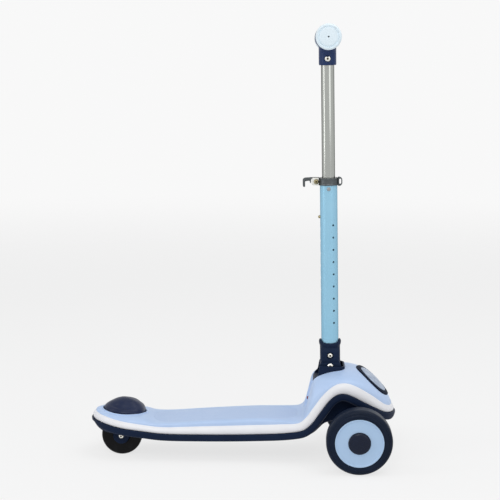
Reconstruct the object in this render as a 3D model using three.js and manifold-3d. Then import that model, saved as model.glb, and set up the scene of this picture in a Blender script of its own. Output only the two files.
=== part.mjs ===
// Three wheel kids scooter: moulded deck, lean-to-steer front truck and a folding telescopic stem.
// Millimetres, +X forward, +Y to the rider's left, +Z up, origin on the ground under the middle.

import * as THREE from 'three';
import { mergeVertices } from 'three/addons/utils/BufferGeometryUtils.js';
import Module from 'manifold-3d';

// Wheels and where they stand
const wheelbase = 443;
const tailOverhang = 58;
const noseOverhang = 71;
const frontTyreRadius = 60;
const frontTyreWidth = 38;
const frontWheelOffset = 118;
const rearTyreRadius = 38;
const rearTyreWidth = 38;

// Hull plan and its wavy side lines
const deckHalfWidth = 62;
const humpHalfWidth = 82;
const tailRound = 81;
const noseRound = 86;
const seamHeight = 51;
const archRise = 85;
const bandHeight = 15.5;
const bandSwell = 5;
const rimHeight = 13;
const deckHeight = 71;
const humpRise = 105;
const humpLength = 115.2;
const keelHalfWidth = 50;
const keelRise = 41;
const hullWall = 3;
const panCorner = 6;
const panTipRound = 12;
const bandInset = 2.5;
const bandBulge = 1.6;
const bandLean = 4;
const shellInset = 7.5;

// Stem foot
const stemSetback = 51.4;
const pivotDrop = 0.5;
const towerRoom = 2.1;
const stemLean = 0.95;
const socketRadius = 18.5;
const socketHeight = 47.5;
const socketScoop = 6;
const socketScoopRadius = 22;
const socketLip = 1.5;
const socketLipHeight = 3.5;
const socketFloor = 11;
const socketBoltHeight = 18.5;
const socketHalfSide = 20.6;
const socketRecess = 3.2;
const socketBossRadius = 11;
const cheekThickness = 3.2;
const cheekHalfLength = 20;
const cheekRise = 6.5;
const cheekCorner = 7;
const bracketBase = 4;
const pivotBoltRadius = 4;

// Bezel round the stem foot
const bezelFront = 27;
const bezelRear = 29.5;
const bezelHalfWidth = 31.7;
const bezelWall = 3.5;
const bezelCorner = 16;
const bezelProud = 6.9;
const bezelDepth = 12;
const bezelDrop = 54;

// Stem tubes
const outerTubeRadius = 16;
const outerTubeWall = 1.6;
const outerTubeTop = 346;
const innerTubeRadius = 12;
const innerTubeWall = 1.5;
const bushLength = 46;
const bushLip = 1.6;
const holePitch = 22.8;
const sightHoleRadius = 1.7;
const sightHoleCount = 9;
const sightHoleDrop = 14.5;
const sightHoleTurn = 29;
const snapDrop = 23.5;
const snapTail = 30.5;
const snapHoleCount = 7;
const snapRadius = 3;
const snapProud = 4;
const rivetDrop = 18.5;
const rivetRadius = 3.6;
const rivetProud = 1.2;

// Quick-release collar
const clampDrop = 11;
const clampHeight = 13.5;
const clampWall = 2;
const clampEarLength = 15;
const clampEarThickness = 2.4;
const clampSlit = 3;
const clampBoltSetback = 22.5;
const clampBoltRadius = 2.5;
const clampHeadRadius = 4.6;
const clampLoopWidth = 7;
const clampLoopRise = 1.6;
const leverReach = 47.5;
const leverThickness = 2.2;
const leverWidth = 11.4;
const leverDrop = 9;
const leverHubRadius = 6;
const clampPinRadius = 2;

// Handlebar
const gripHeight = 602.5;
const barRadius = 11;
const barHalfLength = 144;
const barrelRadius = 23;
const barrelHalfLength = 29;
const neckRadius = 16;
const neckLength = 49;
const neckBoltRise = 11.5;
const neckSeat = 5;
const gripRadius = 16.5;
const gripEndRadius = 22.5;
const gripEndLength = 9;
const gripDish = 2.4;
const gripDishRadius = 17;
const gripHalfSpan = 150;
const gripVentRadius = 1.4;
const gripRibCount = 3;
const gripRibDepth = 1.2;

// Front truck
const kingpinAngle = 45;
const kingpinSetback = 12;
const kingpinRise = 6;
const kingpinRadius = 5;
const trunnionRadius = 15;
const trunnionHalfLength = 10;
const rubberRadius = 13;
const rubberHeight = 6;
const kingpinHeadHeight = 5;
const kingpinReach = 34;
const kingBossRadius = 17;
const kingBossLength = 20;
const beamRadius = 10;
const beamEndRadius = 8;
const beamFlange = 4;
const beamTip = 2;
const beamTipRadius = 6.2;
const frontAxleRadius = 4;
const axleNutHeight = 3;

// Wheel insides
const tyreShoulder = 10;
const frontCoreRadius = 44;
const hubCapRadius = 20;
const hubCapDome = 4;
const hubCapWall = 3;
const discRecess = 1.2;
const discThickness = 2;
const rearCoreRadius = 25;
const coreRim = 4;
const coreWeb = 5;
const coreEdge = 1;
const hubWall = 4;
const bearingRadius = 11;
const bearingWidth = 7;
const bearingBore = 4.3;
const coreHoleCount = 5;
const coreHoleRadius = 6.5;

// Rear wheel bay and brake
const bayClearance = 2.3;
const bayEndClearance = 5;
const bayTop = 67;
const bayCorner = 5;
const bayBossRadius = 6.2;
const lugRadius = 15;
const lugThickness = 4.5;
const rearAxleRadius = 4;
const pedalHalfLength = 40;
const pedalHalfWidth = 36;
const pedalRimHeight = 83.2;
const pedalDome = 24;
const pedalTilt = 5.5;
const pedalSkirt = 3;
const pedalWall = 3;
const pedalGap = 1.3;
const brakeGap = 3.4;
const brakePadWidth = 26;
const brakePadLength = 22;
const brakeHingeInset = 7;
const brakeHingeDrop = 11;
const brakePinRadius = 2;
const brakeKnuckleRadius = 4.5;
const brakeKnuckleHalfWidth = 12;
const brakeEarThickness = 4;
const brakeSpringHalf = 5.5;
const brakeSpringRadius = 3.3;
const brakeWireRadius = 0.55;
const brakeSpringTurns = 3;
const brakeSpringLeg = 8;

// Emblem on the front of the hump
const emblemSetback = 31;
const emblemAngle = 41;
const emblemHalfLength = 39;
const emblemHalfWidth = 47;
const emblemRingWidth = 9.5;
const emblemRingProud = 2;
const emblemDiscProud = 1.4;

// Power button low on the back of the hump
const buttonHeight = 109;
const buttonRadius = 2.8;
const buttonProud = 2.2;
const buttonFlangeRadius = 5;
const buttonFlange = 2;
const buttonStem = 6;
const buttonTravel = 1.2;

// Pan screws
const screwRadius = 1.8;
const screwHeadRadius = 4;
const screwHeadHeight = 2.4;
const screwLength = 16;
const screwPostRadius = 5;
const screwSpread = 40;

// Fasteners and fits
const nutRadius = 6.5;
const nutHeight = 5;
const headHeight = 3.4;
const flatHeadHeight = 2.6;
const headRadius = 5.2;
const socketDriveRadius = 2.6;
const socketDriveDepth = 2;
const counterboreRadius = 6.2;
const gap = 0.3;
const looseGap = 0.6;
const pinGap = 0.15;
const overrun = 8;

// Mesh fineness, as counts
const roundSides = 18;
const smallSides = 10;
const screwSides = 8;
const wheelSides = 24;
const hubSides = 16;
const domePoints = 10;
const cornerSteps = 3;
const wireSides = 5;

const hullLength = tailOverhang + wheelbase + noseOverhang;
const rearAxleX = tailOverhang - hullLength / 2;
const frontAxleX = rearAxleX + wheelbase;
const pivotX = frontAxleX - stemSetback;
const tailTip = -hullLength / 2;
const noseTip = hullLength / 2;
const pivotHeight = deckHeight + humpRise - pivotDrop;
const snapHeight = outerTubeTop - bushLength - snapDrop;
const sightHoleTop = snapHeight - sightHoleDrop;
const rivetHeight = outerTubeTop - rivetDrop;
const clampBase = outerTubeTop - clampDrop;
const neckFoot = gripHeight - neckLength;
const neckBoltHeight = neckFoot + neckBoltRise;
const innerTubeFoot = snapHeight - snapTail;
const innerTubeTop = neckBoltHeight + neckSeat;

// Side lines: first number is the station (-1 tail tip, 0 rear axle, 1 front axle, 2 nose tip),
// second is the share of the climb over the front wheels
const seamShares = [
  [-1, 0.235], [-0.59, 0.194], [0, 0.125], [0.093, 0.062], [0.176, 0.012], [0.289, 0],
  [0.515, 0.012], [0.65, 0.047], [0.74, 0.112], [0.777, 0.176], [0.81, 0.335], [0.842, 0.576],
  [0.876, 0.824], [0.907, 0.965], [0.939, 1], [0.973, 0.947], [1.14, 0.806], [1.465, 0.647],
  [1.7, 0.524], [2, 0.435],
];
const crownShares = [
  [-1, 0.14], [-0.62, 0.157], [0, 0.138], [0.095, 0.086], [0.126, 0.036], [0.158, 0.01],
  [0.21, 0.008], [0.332, 0.046], [0.454, 0.08], [0.576, 0.107], [0.65, 0.101], [0.729, 0.086],
  [0.756, 0.094], [0.772, 0.13], [0.783, 0.262], [0.795, 0.472], [0.81, 0.735], [0.828, 0.835],
  [0.853, 0.888], [0.889, 0.928], [0.944, 0.946], [0.98, 0.934], [1.085, 0.902], [1.296, 0.822],
  [1.493, 0.719], [1.66, 0.587], [1.8, 0.445], [1.9, 0.31], [2, 0.22],
];
const keelShares = [
  [-1, 0.4], [-0.7, 0.3], [-0.3, 0.2], [0.6, 0.15], [0.74, 0.19], [0.79, 0.3], [0.807, 0.355],
  [0.824, 0.485], [0.84, 0.65], [0.857, 0.82], [0.873, 0.9], [0.9, 0.97], [1, 1.05], [2, 1.06],
];
// Extra height of the white band at each station, as a share of its swell
const bandSwellShares = [
  [-1, -0.4], [-0.4, -0.4], [0.1, -0.7], [0.18, -0.65], [0.26, -0.3], [0.36, 0.05], [0.5, 0.35],
  [0.68, 0.35], [0.74, 0], [0.86, 0], [0.92, 0.75], [0.98, 0.9], [1.14, 0.75], [1.35, 0.35],
  [1.45, 0], [1.66, -0.8], [2, -1],
];
// How far the bezel stands over the hump at each station, as a share of its rise
const bezelRiseShares = [[0.81, -0.3], [0.83, -0.3], [0.85, 0.5], [0.884, 1], [0.92, 0.8], [0.945, 0.45]];
// Squareness of the top shell's cross-section at each station: 2 is an ellipse, 5 nearly flat
const squarenessShares = [
  [-1, 2.2], [0, 2.2], [0.12, 3], [0.2, 5], [0.7, 5], [0.78, 3.2], [0.84, 2.2], [0.95, 2], [2, 2.1],
];
const hullStationShares = [
  0.1, 0.15, 0.21, 0.45, 0.7, 0.757, 0.782, 0.8, 0.822, 0.85, 0.885, 0.93,
];
const endRoundShares = [0.96, 0.85, 0.68, 0.4];
const humpStartShare = 0.74;

const wasm = await Module();
wasm.setup();

const colours = {
  paleBlue: new THREE.MeshStandardMaterial({ color: '#bacdeb', roughness: 0.42, metalness: 0 }),
  white: new THREE.MeshStandardMaterial({ color: '#e4e5ea', roughness: 0.4, metalness: 0 }),
  navy: new THREE.MeshStandardMaterial({ color: '#1b2540', roughness: 0.45, metalness: 0 }),
  skyPaint: new THREE.MeshStandardMaterial({ color: '#9fcbe3', roughness: 0.3, metalness: 0.1 }),
  gripBlue: new THREE.MeshStandardMaterial({ color: '#cfe3f2', roughness: 0.6, metalness: 0 }),
  steel: new THREE.MeshStandardMaterial({ color: '#c9ccc8', roughness: 0.25, metalness: 1 }),
  darkSteel: new THREE.MeshStandardMaterial({ color: '#5d6164', roughness: 0.4, metalness: 1 }),
  brass: new THREE.MeshStandardMaterial({ color: '#b39a62', roughness: 0.35, metalness: 1 }),
  frontTyre: new THREE.MeshStandardMaterial({ color: '#151b2b', roughness: 0.5, metalness: 0 }),
  rearTyre: new THREE.MeshStandardMaterial({ color: '#1a1a1b', roughness: 0.4, metalness: 0 }),
  rubber: new THREE.MeshStandardMaterial({ color: '#20242c', roughness: 0.8, metalness: 0 }),
  emblem: new THREE.MeshStandardMaterial({ color: '#8ea3be', roughness: 0.35, metalness: 0 }),
  wheelBlue: new THREE.MeshStandardMaterial({ color: '#9bb4d2', roughness: 0.5, metalness: 0 }),
  red: new THREE.MeshStandardMaterial({ color: '#c01f30', roughness: 0.4, metalness: 0 }),
  softWhite: new THREE.MeshStandardMaterial({ color: '#e9ebe8', roughness: 0.5, metalness: 0 }),
};

const scooter = new THREE.Group();

function add(parent, name, geometry, material) {
  const mesh = new THREE.Mesh(geometry, material.clone());
  mesh.name = name;
  parent.add(mesh);
  return mesh;
}

function signedVolume(geometry) {
  const points = geometry.attributes.position;
  const index = geometry.index;
  const corner = (k) => new THREE.Vector3().fromBufferAttribute(points, index ? index.getX(k) : k);
  const count = index ? index.count : points.count;
  let volume = 0;
  for (let k = 0; k < count; k += 3) {
    volume += corner(k).dot(corner(k + 1).cross(corner(k + 2))) / 6;
  }
  return volume;
}

// Turns a closed geometry into one with shared corners and its faces pointing out
function closed(geometry) {
  const bare = geometry.clone();
  bare.deleteAttribute('normal');
  bare.deleteAttribute('uv');
  const merged = mergeVertices(bare);
  const way = signedVolume(merged) < 0 ? -1 : 1;
  const index = [];
  for (let k = 0; k < merged.index.count; k += 3) {
    const corners = [0, 1, 2].map((step) => merged.index.getX(k + step));
    if (new Set(corners).size === 3) index.push(...(way < 0 ? corners.reverse() : corners));
  }
  merged.setIndex(index);
  return merged;
}

function toSolid(geometry) {
  const merged = closed(geometry);
  const mesh = new wasm.Mesh({
    numProp: 3,
    vertProperties: new Float32Array(merged.attributes.position.array),
    triVerts: new Uint32Array(merged.index.array),
  });
  return new wasm.Manifold(mesh);
}

function toGeometry(solid) {
  const mesh = solid.getMesh();
  const geometry = new THREE.BufferGeometry();
  geometry.setAttribute('position', new THREE.BufferAttribute(mesh.vertProperties, 3));
  geometry.setIndex(new THREE.BufferAttribute(mesh.triVerts, 1));
  geometry.computeVertexNormals();
  return geometry;
}

function joined(...geometries) {
  return toGeometry(geometries.map(toSolid).reduce((whole, piece) => whole.add(piece)));
}

function cut(body, ...tools) {
  return toGeometry(tools.map(toSolid).reduce((rest, tool) => rest.subtract(tool), toSolid(body)));
}

function common(first, second) {
  return toGeometry(toSolid(first).intersect(toSolid(second)));
}

// A turned piece: profile points are [radius, distance along the axis]
function turned(profile, sides = roundSides) {
  const points = profile.map(([radius, along]) => new THREE.Vector2(radius, along));
  return closed(new THREE.LatheGeometry(points, sides));
}

function ring(outer, inner, from, to, sides = roundSides) {
  return turned([[inner, from], [outer, from], [outer, to], [inner, to], [inner, from]], sides);
}

function rod(radius, from, to, sides = roundSides) {
  return turned([[0, from], [radius, from], [radius, to], [0, to]], sides);
}

// Turned pieces have their axis along Y; this stands them up along Z
function upright(geometry) {
  return geometry.rotateX(Math.PI / 2);
}

function moved(geometry, x, y, z) {
  return geometry.translate(x, y, z);
}

function box(x0, x1, y0, y1, z0, z1) {
  const geometry = new THREE.BoxGeometry(x1 - x0, y1 - y0, z1 - z0);
  return geometry.translate((x0 + x1) / 2, (y0 + y1) / 2, (z0 + z1) / 2);
}

// An outline drawn in X and Z, given a thickness along Y
function plate(points, y0, y1) {
  const shape = new THREE.Shape(points.map(([x, z]) => new THREE.Vector2(x, z)));
  const geometry = new THREE.ExtrudeGeometry(shape, { depth: y1 - y0, bevelEnabled: false });
  return closed(geometry.rotateX(Math.PI / 2).translate(0, y1, 0));
}

// Rounded rectangle drawn in X and Y, given a height along Z
function roundedBlock(x0, x1, y0, y1, corner, z0, z1) {
  const shape = new THREE.Shape();
  shape.moveTo(x0 + corner, y0);
  shape.lineTo(x1 - corner, y0);
  shape.absarc(x1 - corner, y0 + corner, corner, -Math.PI / 2, 0, false);
  shape.lineTo(x1, y1 - corner);
  shape.absarc(x1 - corner, y1 - corner, corner, 0, Math.PI / 2, false);
  shape.lineTo(x0 + corner, y1);
  shape.absarc(x0 + corner, y1 - corner, corner, Math.PI / 2, Math.PI, false);
  shape.lineTo(x0, y0 + corner);
  shape.absarc(x0 + corner, y0 + corner, corner, Math.PI, Math.PI * 1.5, false);
  const settings = { depth: z1 - z0, bevelEnabled: false, curveSegments: cornerSteps };
  return closed(new THREE.ExtrudeGeometry(shape, settings).translate(0, 0, z0));
}

// Skins a row of closed sections with the same number of points
function loft(sections) {
  const positions = [];
  const index = [];
  const count = sections[0].length;
  sections.forEach((section) => section.forEach((point) => positions.push(...point)));
  for (let i = 0; i < sections.length - 1; i += 1) {
    for (let k = 0; k < count; k += 1) {
      const a = i * count + k;
      const b = i * count + ((k + 1) % count);
      index.push(a, b, b + count, a, b + count, a + count);
    }
  }
  for (const [row, flip] of [[0, true], [sections.length - 1, false]]) {
    const flat = sections[row].map((point) => new THREE.Vector2(point[1], point[2]));
    for (const [a, b, c] of THREE.ShapeUtils.triangulateShape(flat, [])) {
      const corners = [a, b, c].map((k) => row * count + k);
      index.push(...(flip ? corners.reverse() : corners));
    }
  }
  const geometry = new THREE.BufferGeometry();
  geometry.setAttribute('position', new THREE.Float32BufferAttribute(positions, 3));
  geometry.setIndex(index);
  return closed(geometry);
}

// Smooth curve through [x, value] points, as a function of x
function smoothLine(points) {
  const slopes = points.map((point, i) => {
    const before = points[Math.max(i - 1, 0)];
    const after = points[Math.min(i + 1, points.length - 1)];
    return (after[1] - before[1]) / (after[0] - before[0]);
  });
  return (x) => {
    let i = 0;
    while (i < points.length - 2 && x > points[i + 1][0]) i += 1;
    const [x0, v0] = points[i];
    const [x1, v1] = points[i + 1];
    const span = x1 - x0;
    const t = THREE.MathUtils.clamp((x - x0) / span, 0, 1);
    const rise = t * t * (3 - 2 * t);
    const start = t * (1 - t) * (1 - t) * span * slopes[i];
    const end = t * t * (t - 1) * span * slopes[i + 1];
    return v0 + (v1 - v0) * rise + start + end;
  };
}

// Place of a station: the hump keeps its length, and the deck behind it takes up the wheelbase
function stationX(station) {
  if (station < 0) return rearAxleX + station * tailOverhang;
  if (station > 1) return frontAxleX + (station - 1) * noseOverhang;
  if (station > humpStartShare) {
    return frontAxleX - humpLength * (1 - station) / (1 - humpStartShare);
  }
  return rearAxleX + (wheelbase - humpLength) * station / humpStartShare;
}

function sideLine(shares, base, rise) {
  return smoothLine(shares.map(([station, share]) => [stationX(station), base + rise * share]));
}

// The line that runs a steady distance above (or below) another one, measured square to it
function beside(line, distance) {
  const reach = Math.abs(distance);
  const way = Math.sign(distance);
  const samples = 160;
  const spokes = 12;
  const points = [];
  for (let i = 0; i <= samples; i += 1) {
    const x = THREE.MathUtils.lerp(tailTip, noseTip, i / samples);
    let z = line(x) + distance;
    for (let k = -spokes; k <= spokes; k += 1) {
      const along = (reach * k) / spokes;
      const candidate = line(x + along) + way * Math.sqrt(reach * reach - along * along);
      if (way * (candidate - z) > 0) z = candidate;
    }
    points.push([x, z]);
  }
  return smoothLine(points);
}

const seamLine = sideLine(seamShares, seamHeight, archRise);
const bandBase = beside(seamLine, bandHeight);
const bandExtra = sideLine(bandSwellShares, 0, bandSwell);
const bandLine = (x) => bandBase(x) + bandExtra(x);
const rimLine = beside(seamLine, -rimHeight);
const crownLine = sideLine(crownShares, deckHeight, humpRise);
const keelLine = sideLine(keelShares, seamHeight - rimHeight, keelRise);
const bezelRise = sideLine(bezelRiseShares, 0, bezelProud);
const squareness = sideLine(squarenessShares, 0, 1);

// Half width of the hull in plan, drawn in by an inset all round
function halfWidth(x, inset) {
  const spread = THREE.MathUtils.smoothstep(x, stationX(0.55), stationX(0.92));
  const width = THREE.MathUtils.lerp(deckHalfWidth, humpHalfWidth, spread) - inset;
  const tailPart = Math.max(tailTip + tailRound - x, 0) / (tailRound - inset);
  const nosePart = Math.max(x - noseTip + noseRound, 0) / (noseRound - inset);
  const end = Math.min(Math.max(tailPart, nosePart), 1);
  return width * Math.sqrt(1 - end * end);
}

// Rise of an edge that rounds off towards the nearer tip of the hull
function tipRise(x, inset, round) {
  const distance = Math.min(x - tailTip, noseTip - x) - inset;
  const away = THREE.MathUtils.clamp(round - distance, 0, round);
  return round - Math.sqrt(round * round - away * away);
}

// Stations shared by all hull layers, closer together where the ends round off
function hullStations(inset) {
  const rounds = endRoundShares.map((share) => tailTip + tailRound - share * tailRound);
  const middle = hullStationShares.map(stationX);
  const nose = endRoundShares.map((share) => noseTip - noseRound + share * noseRound).reverse();
  const all = [...rounds, tailTip + tailRound, ...middle, noseTip - noseRound, ...nose];
  const tip = inset + hullWall / 10;
  const inside = all.filter((x) => x > tailTip + tip + gap && x < noseTip - tip - gap);
  return [tailTip + tip, ...inside, noseTip - tip];
}

// Domed solid of the top shell: its crown follows one line, its lower edge another
function domedSolid(inset, crown, edge, points) {
  return loft(hullStations(inset).map((x) => {
    const width = Math.max(halfWidth(x, inset), hullWall / 2);
    const low = edge(x);
    const rise = Math.max(crown(x) - low, hullWall / 3);
    const power = 2 / squareness(x);
    const section = [];
    for (let k = 0; k <= points; k += 1) {
      const angle = (Math.PI * k) / points;
      const across = Math.sign(Math.cos(angle)) * Math.abs(Math.cos(angle)) ** power;
      const up = Math.abs(Math.sin(angle)) ** power;
      section.push([x, width * across, low + rise * up]);
    }
    return section;
  }));
}

// Wavy slab of full hull plan between two side lines, its sides bulging and leaning in by a little
function slab(inset, low, high, bulge, lean) {
  return loft(hullStations(inset).map((x) => {
    const width = Math.max(halfWidth(x, inset), hullWall / 2);
    const swell = Math.min(bulge, width / 4);
    const tuck = Math.min(lean, width / 4);
    const z0 = low(x);
    const z1 = high(x) - (high(x) - z0) * tipRise(x, inset, lean) / Math.max(lean, gap);
    const heightShares = bulge > 0 ? [0, 0.25, 0.75, 1] : [0, 1];
    const left = heightShares.map((share) => {
      const out = (4 / 3) * (1 - (2 * share - 1) ** 2) - 1;
      return [x, width + swell * out - tuck * share * share, z0 + (z1 - z0) * share];
    });
    const right = left.map(([px, py, pz]) => [px, -py, pz]).reverse();
    return [...left, ...right];
  }));
}

// Pan solid: side rim that follows the arch, with the narrower keel hanging below it
function panSolid(inset, top, rim, keel, rounded) {
  return loft(hullStations(inset).map((x) => {
    const width = Math.max(halfWidth(x, inset), hullWall / 2);
    const corner = Math.min(panCorner, width * 0.3);
    const keelWidth = Math.min(keelHalfWidth - inset, width * 0.7);
    const rise = Math.min(tipRise(x, inset, panTipRound), (top(x) - rim(x)) * 0.8);
    const rimZ = rim(x) + rise;
    const keelZ = Math.min(rimZ - hullWall / 4, keel(x) + rise);
    const keelCorner = Math.min(corner, (rimZ - keelZ) / 2, keelWidth * 0.3);
    const outerCorner = [[x, width, rimZ + corner], [x, width - corner / 2, rimZ]];
    const left = [
      [x, width, top(x)],
      ...(rounded ? outerCorner : [[x, width, rimZ]]),
      [x, keelWidth, rimZ],
      [x, keelWidth - (rounded ? keelCorner : 0), keelZ],
    ];
    const right = left.map(([px, py, pz]) => [px, -py, pz]).reverse();
    return [...left, ...right].reverse();
  }));
}

const fastener = {
  // Button head bolt along Y with a hex recess; the shank runs from the head to its end
  bolt(shankRadius, headAt, endAt, radius = headRadius, height = headHeight) {
    const way = Math.sign(endAt - headAt);
    const top = headAt - way * height;
    const edge = headAt - way * height * 0.45;
    const round = turned([
      [0, top], [radius * 0.55, top], [radius, edge], [radius, headAt],
      [shankRadius, headAt], [shankRadius, endAt], [0, endAt],
    ], smallSides);
    const drive = rod(socketDriveRadius, -overrun, socketDriveDepth, 6);
    if (way < 0) drive.rotateZ(Math.PI);
    return cut(round, moved(drive, 0, top, 0));
  },
  // Hex nut along Y
  nut(bore, from, to, radius = nutRadius) {
    return cut(rod(radius, from, to, 6), rod(bore, from - overrun, to + overrun, smallSides));
  },
};

// Base pan with its tub, keel, wheel bay, axle lugs, kingpin boss and stem tower

function kingpinFrame(geometry) {
  const angle = THREE.MathUtils.degToRad(kingpinAngle);
  geometry.rotateY(angle);
  return moved(geometry, frontAxleX - kingpinSetback, 0, frontTyreRadius + kingpinRise);
}

const rubberTop = trunnionHalfLength + gap + rubberHeight;
const towerTop = pivotHeight - socketRadius - looseGap - bracketBase - towerRoom;
const bayHalfWidth = rearTyreWidth / 2 + bayClearance;
const bayHalfLength = rearTyreRadius + bayEndClearance;
const screwPlaces = [
  [stationX(0.2), screwSpread], [stationX(0.2), -screwSpread],
  [stationX(0.7), screwSpread], [stationX(0.7), -screwSpread],
];

const brakeHingeX = rearAxleX + pedalHalfLength - brakeHingeInset;
const brakeHingeZ = pedalRimHeight - brakeHingeDrop;

// Ear that reaches back from the front wall of the wheel bay to carry the brake's hinge pin
function brakeEar(way) {
  const inside = brakeKnuckleHalfWidth + gap;
  const [y0, y1] = [way * inside, way * (inside + brakeEarThickness)].sort((a, b) => a - b);
  const wallX = rearAxleX + bayHalfLength + hullWall / 2;
  const outline = [
    [wallX, bayTop - 3 * brakeKnuckleRadius], [wallX, bayTop],
    [brakeHingeX + brakeKnuckleRadius * 0.7, brakeHingeZ + brakeKnuckleRadius * 0.7],
    [brakeHingeX - brakeKnuckleRadius, brakeHingeZ],
  ];
  const eye = moved(rod(brakeKnuckleRadius, y0, y1, smallSides), brakeHingeX, 0, brakeHingeZ);
  return joined(plate(outline, y0, y1), eye);
}

function basePan() {
  const topLine = (x) => seamLine(x) - gap / 2;
  const floorLine = beside(seamLine, hullWall - rimHeight);
  const outer = panSolid(0, topLine, rimLine, keelLine, true);
  const cavityTop = (x) => seamLine(x) + overrun;
  const cavity = panSolid(hullWall, cavityTop, floorLine, (x) => keelLine(x) + hullWall, false);
  const towerHalf = cheekHalfLength + hullWall;
  const towerWide = bezelHalfWidth - bezelWall - 2 * gap;
  const towerCorner = bezelCorner - bezelWall;
  const towerFoot = keelLine(pivotX) + hullWall / 2;
  const tower = cut(
    roundedBlock(
      pivotX - towerHalf, pivotX + towerHalf, -towerWide, towerWide, towerCorner, towerFoot, towerTop,
    ),
    roundedBlock(
      pivotX - cheekHalfLength, pivotX + cheekHalfLength, hullWall - towerWide, towerWide - hullWall,
      towerCorner - hullWall, towerFoot + hullWall, towerTop + overrun,
    ),
  );
  const bayWall = roundedBlock(
    rearAxleX - bayHalfLength - hullWall, rearAxleX + bayHalfLength + hullWall,
    -bayHalfWidth - hullWall, bayHalfWidth + hullWall, bayCorner + hullWall, rimLine(rearAxleX), bayTop,
  );
  const lugBar = moved(rod(lugRadius, -bayHalfWidth - lugThickness, bayHalfWidth + lugThickness, hubSides), rearAxleX, 0, rearTyreRadius);
  const lugBlock = box(
    rearAxleX - lugRadius, rearAxleX + lugRadius,
    -bayHalfWidth - lugThickness, bayHalfWidth + lugThickness, rearTyreRadius, bayTop,
  );
  const kingBoss = kingpinFrame(upright(rod(kingBossRadius, rubberTop + gap, rubberTop + gap + kingBossLength, hubSides)));
  let pan = toSolid(outer).subtract(toSolid(cavity));
  pan = [tower, kingBoss, bayWall, lugBar, lugBlock].reduce((whole, piece) => whole.add(toSolid(piece)), pan);
  const bay = roundedBlock(
    rearAxleX - bayHalfLength, rearAxleX + bayHalfLength,
    -bayHalfWidth, bayHalfWidth, bayCorner, 0, bayTop + overrun,
  );
  pan = pan.subtract(toSolid(bay));
  for (const way of [-1, 1]) {
    const ends = [way * (rearTyreWidth / 2 + gap), way * (bayHalfWidth + gap)].sort((a, b) => a - b);
    pan = pan.add(toSolid(moved(rod(bayBossRadius, ...ends, smallSides), rearAxleX, 0, rearTyreRadius)));
    pan = pan.add(toSolid(brakeEar(way)));
  }
  const axleReach = bayHalfWidth + lugThickness + overrun;
  const axleHole = moved(rod(rearAxleRadius + gap, -axleReach, axleReach, smallSides), rearAxleX, 0, rearTyreRadius);
  const pocket = kingpinFrame(upright(rod(kingBossRadius + gap, -4 * overrun, rubberTop + gap, hubSides)));
  const kingHole = kingpinFrame(upright(rod(kingpinRadius + gap, 0, rubberTop + kingBossLength + overrun, smallSides)));
  const pinHole = rod(brakePinRadius + pinGap, -bayHalfWidth, bayHalfWidth, smallSides);
  const cuts = [axleHole, pocket, kingHole, moved(pinHole, brakeHingeX, 0, brakeHingeZ)];
  for (const [x, y] of screwPlaces) {
    const floor = rimLine(x);
    cuts.push(moved(upright(rod(screwRadius + gap, -overrun, 2 * overrun, screwSides)), x, y, floor));
    cuts.push(moved(upright(rod(screwHeadRadius + gap, -overrun, hullWall / 2, screwSides)), x, y, floor));
  }
  return toGeometry(cuts.map(toSolid).reduce((rest, tool) => rest.subtract(tool), pan));
}

add(scooter, 'base_pan', basePan(), colours.navy);

// White band between pan and top shell

function sideBand() {
  const outer = slab(bandInset, (x) => seamLine(x) + gap / 2, (x) => bandLine(x) - gap / 2, bandBulge, bandLean);
  const room = bandInset + bandLean + bandBulge + hullWall;
  const inner = slab(room, () => 0, (x) => bandLine(x) + overrun, 0, 0);
  return cut(outer, inner);
}

add(scooter, 'side_band', sideBand(), colours.white);

// Top shell with its openings for brake pedal, stem bezel and power button

function pedalPlaced(geometry) {
  geometry.rotateY(THREE.MathUtils.degToRad(pedalTilt));
  return moved(geometry, rearAxleX + (tailOverhang - pedalHalfLength) / 5, 0, pedalRimHeight);
}

function pedalBowl(halfLength, halfWide, top, skirt) {
  const profile = [[0, -skirt], [1, -skirt], [1, 0]];
  for (const angle of [25, 48, 70]) {
    const turn = THREE.MathUtils.degToRad(angle);
    profile.push([Math.cos(turn), top * Math.sin(turn)]);
  }
  profile.push([0, top]);
  return upright(turned(profile)).scale(halfLength, halfWide, 1);
}

function bezelOutline(inset, z0, z1) {
  return roundedBlock(
    pivotX - bezelRear + inset, pivotX + bezelFront - inset,
    inset - bezelHalfWidth, bezelHalfWidth - inset, bezelCorner - inset, z0, z1,
  );
}

function buttonX() {
  let x = stationX(0.76);
  while (crownLine(x) < buttonHeight) x += gap;
  return x;
}

function buttonAxis(radius, from, to, sides = smallSides) {
  const geometry = rod(radius, from, to, sides).rotateZ(-Math.PI / 2);
  return moved(geometry, buttonX(), 0, buttonHeight);
}

const shellEdge = (x) => bandLine(x) + gap / 2;

function topShell() {
  const outer = domedSolid(shellInset, crownLine, shellEdge, domePoints);
  const innerCrown = beside(crownLine, -hullWall);
  const inner = domedSolid(shellInset + hullWall, innerCrown, (x) => bandLine(x) - overrun, domePoints - 3);
  const holes = [
    pedalPlaced(upright(rod(1, -pedalDome, pedalDome)).scale(
      pedalHalfLength + pedalGap, pedalHalfWidth + pedalGap, 1,
    )),
    bezelOutline(-gap, pivotHeight - bezelDrop, pivotHeight + overrun),
    buttonAxis(buttonRadius + gap, -overrun, overrun),
  ];
  let shell = toSolid(outer).subtract(toSolid(inner));
  for (const [x, y] of screwPlaces) {
    const foot = rimLine(x) + hullWall + 3 * gap;
    const post = upright(rod(screwPostRadius, foot, crownLine(x) - hullWall / 2, screwSides));
    const bore = upright(rod(screwRadius + gap, 0, rimLine(x) + screwLength + hullWall, screwSides));
    shell = shell.add(toSolid(moved(post, x, y, 0))).subtract(toSolid(moved(bore, x, y, 0)));
  }
  return toGeometry(holes.map(toSolid).reduce((rest, tool) => rest.subtract(tool), shell));
}

add(scooter, 'top_shell', topShell(), colours.paleBlue);

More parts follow.
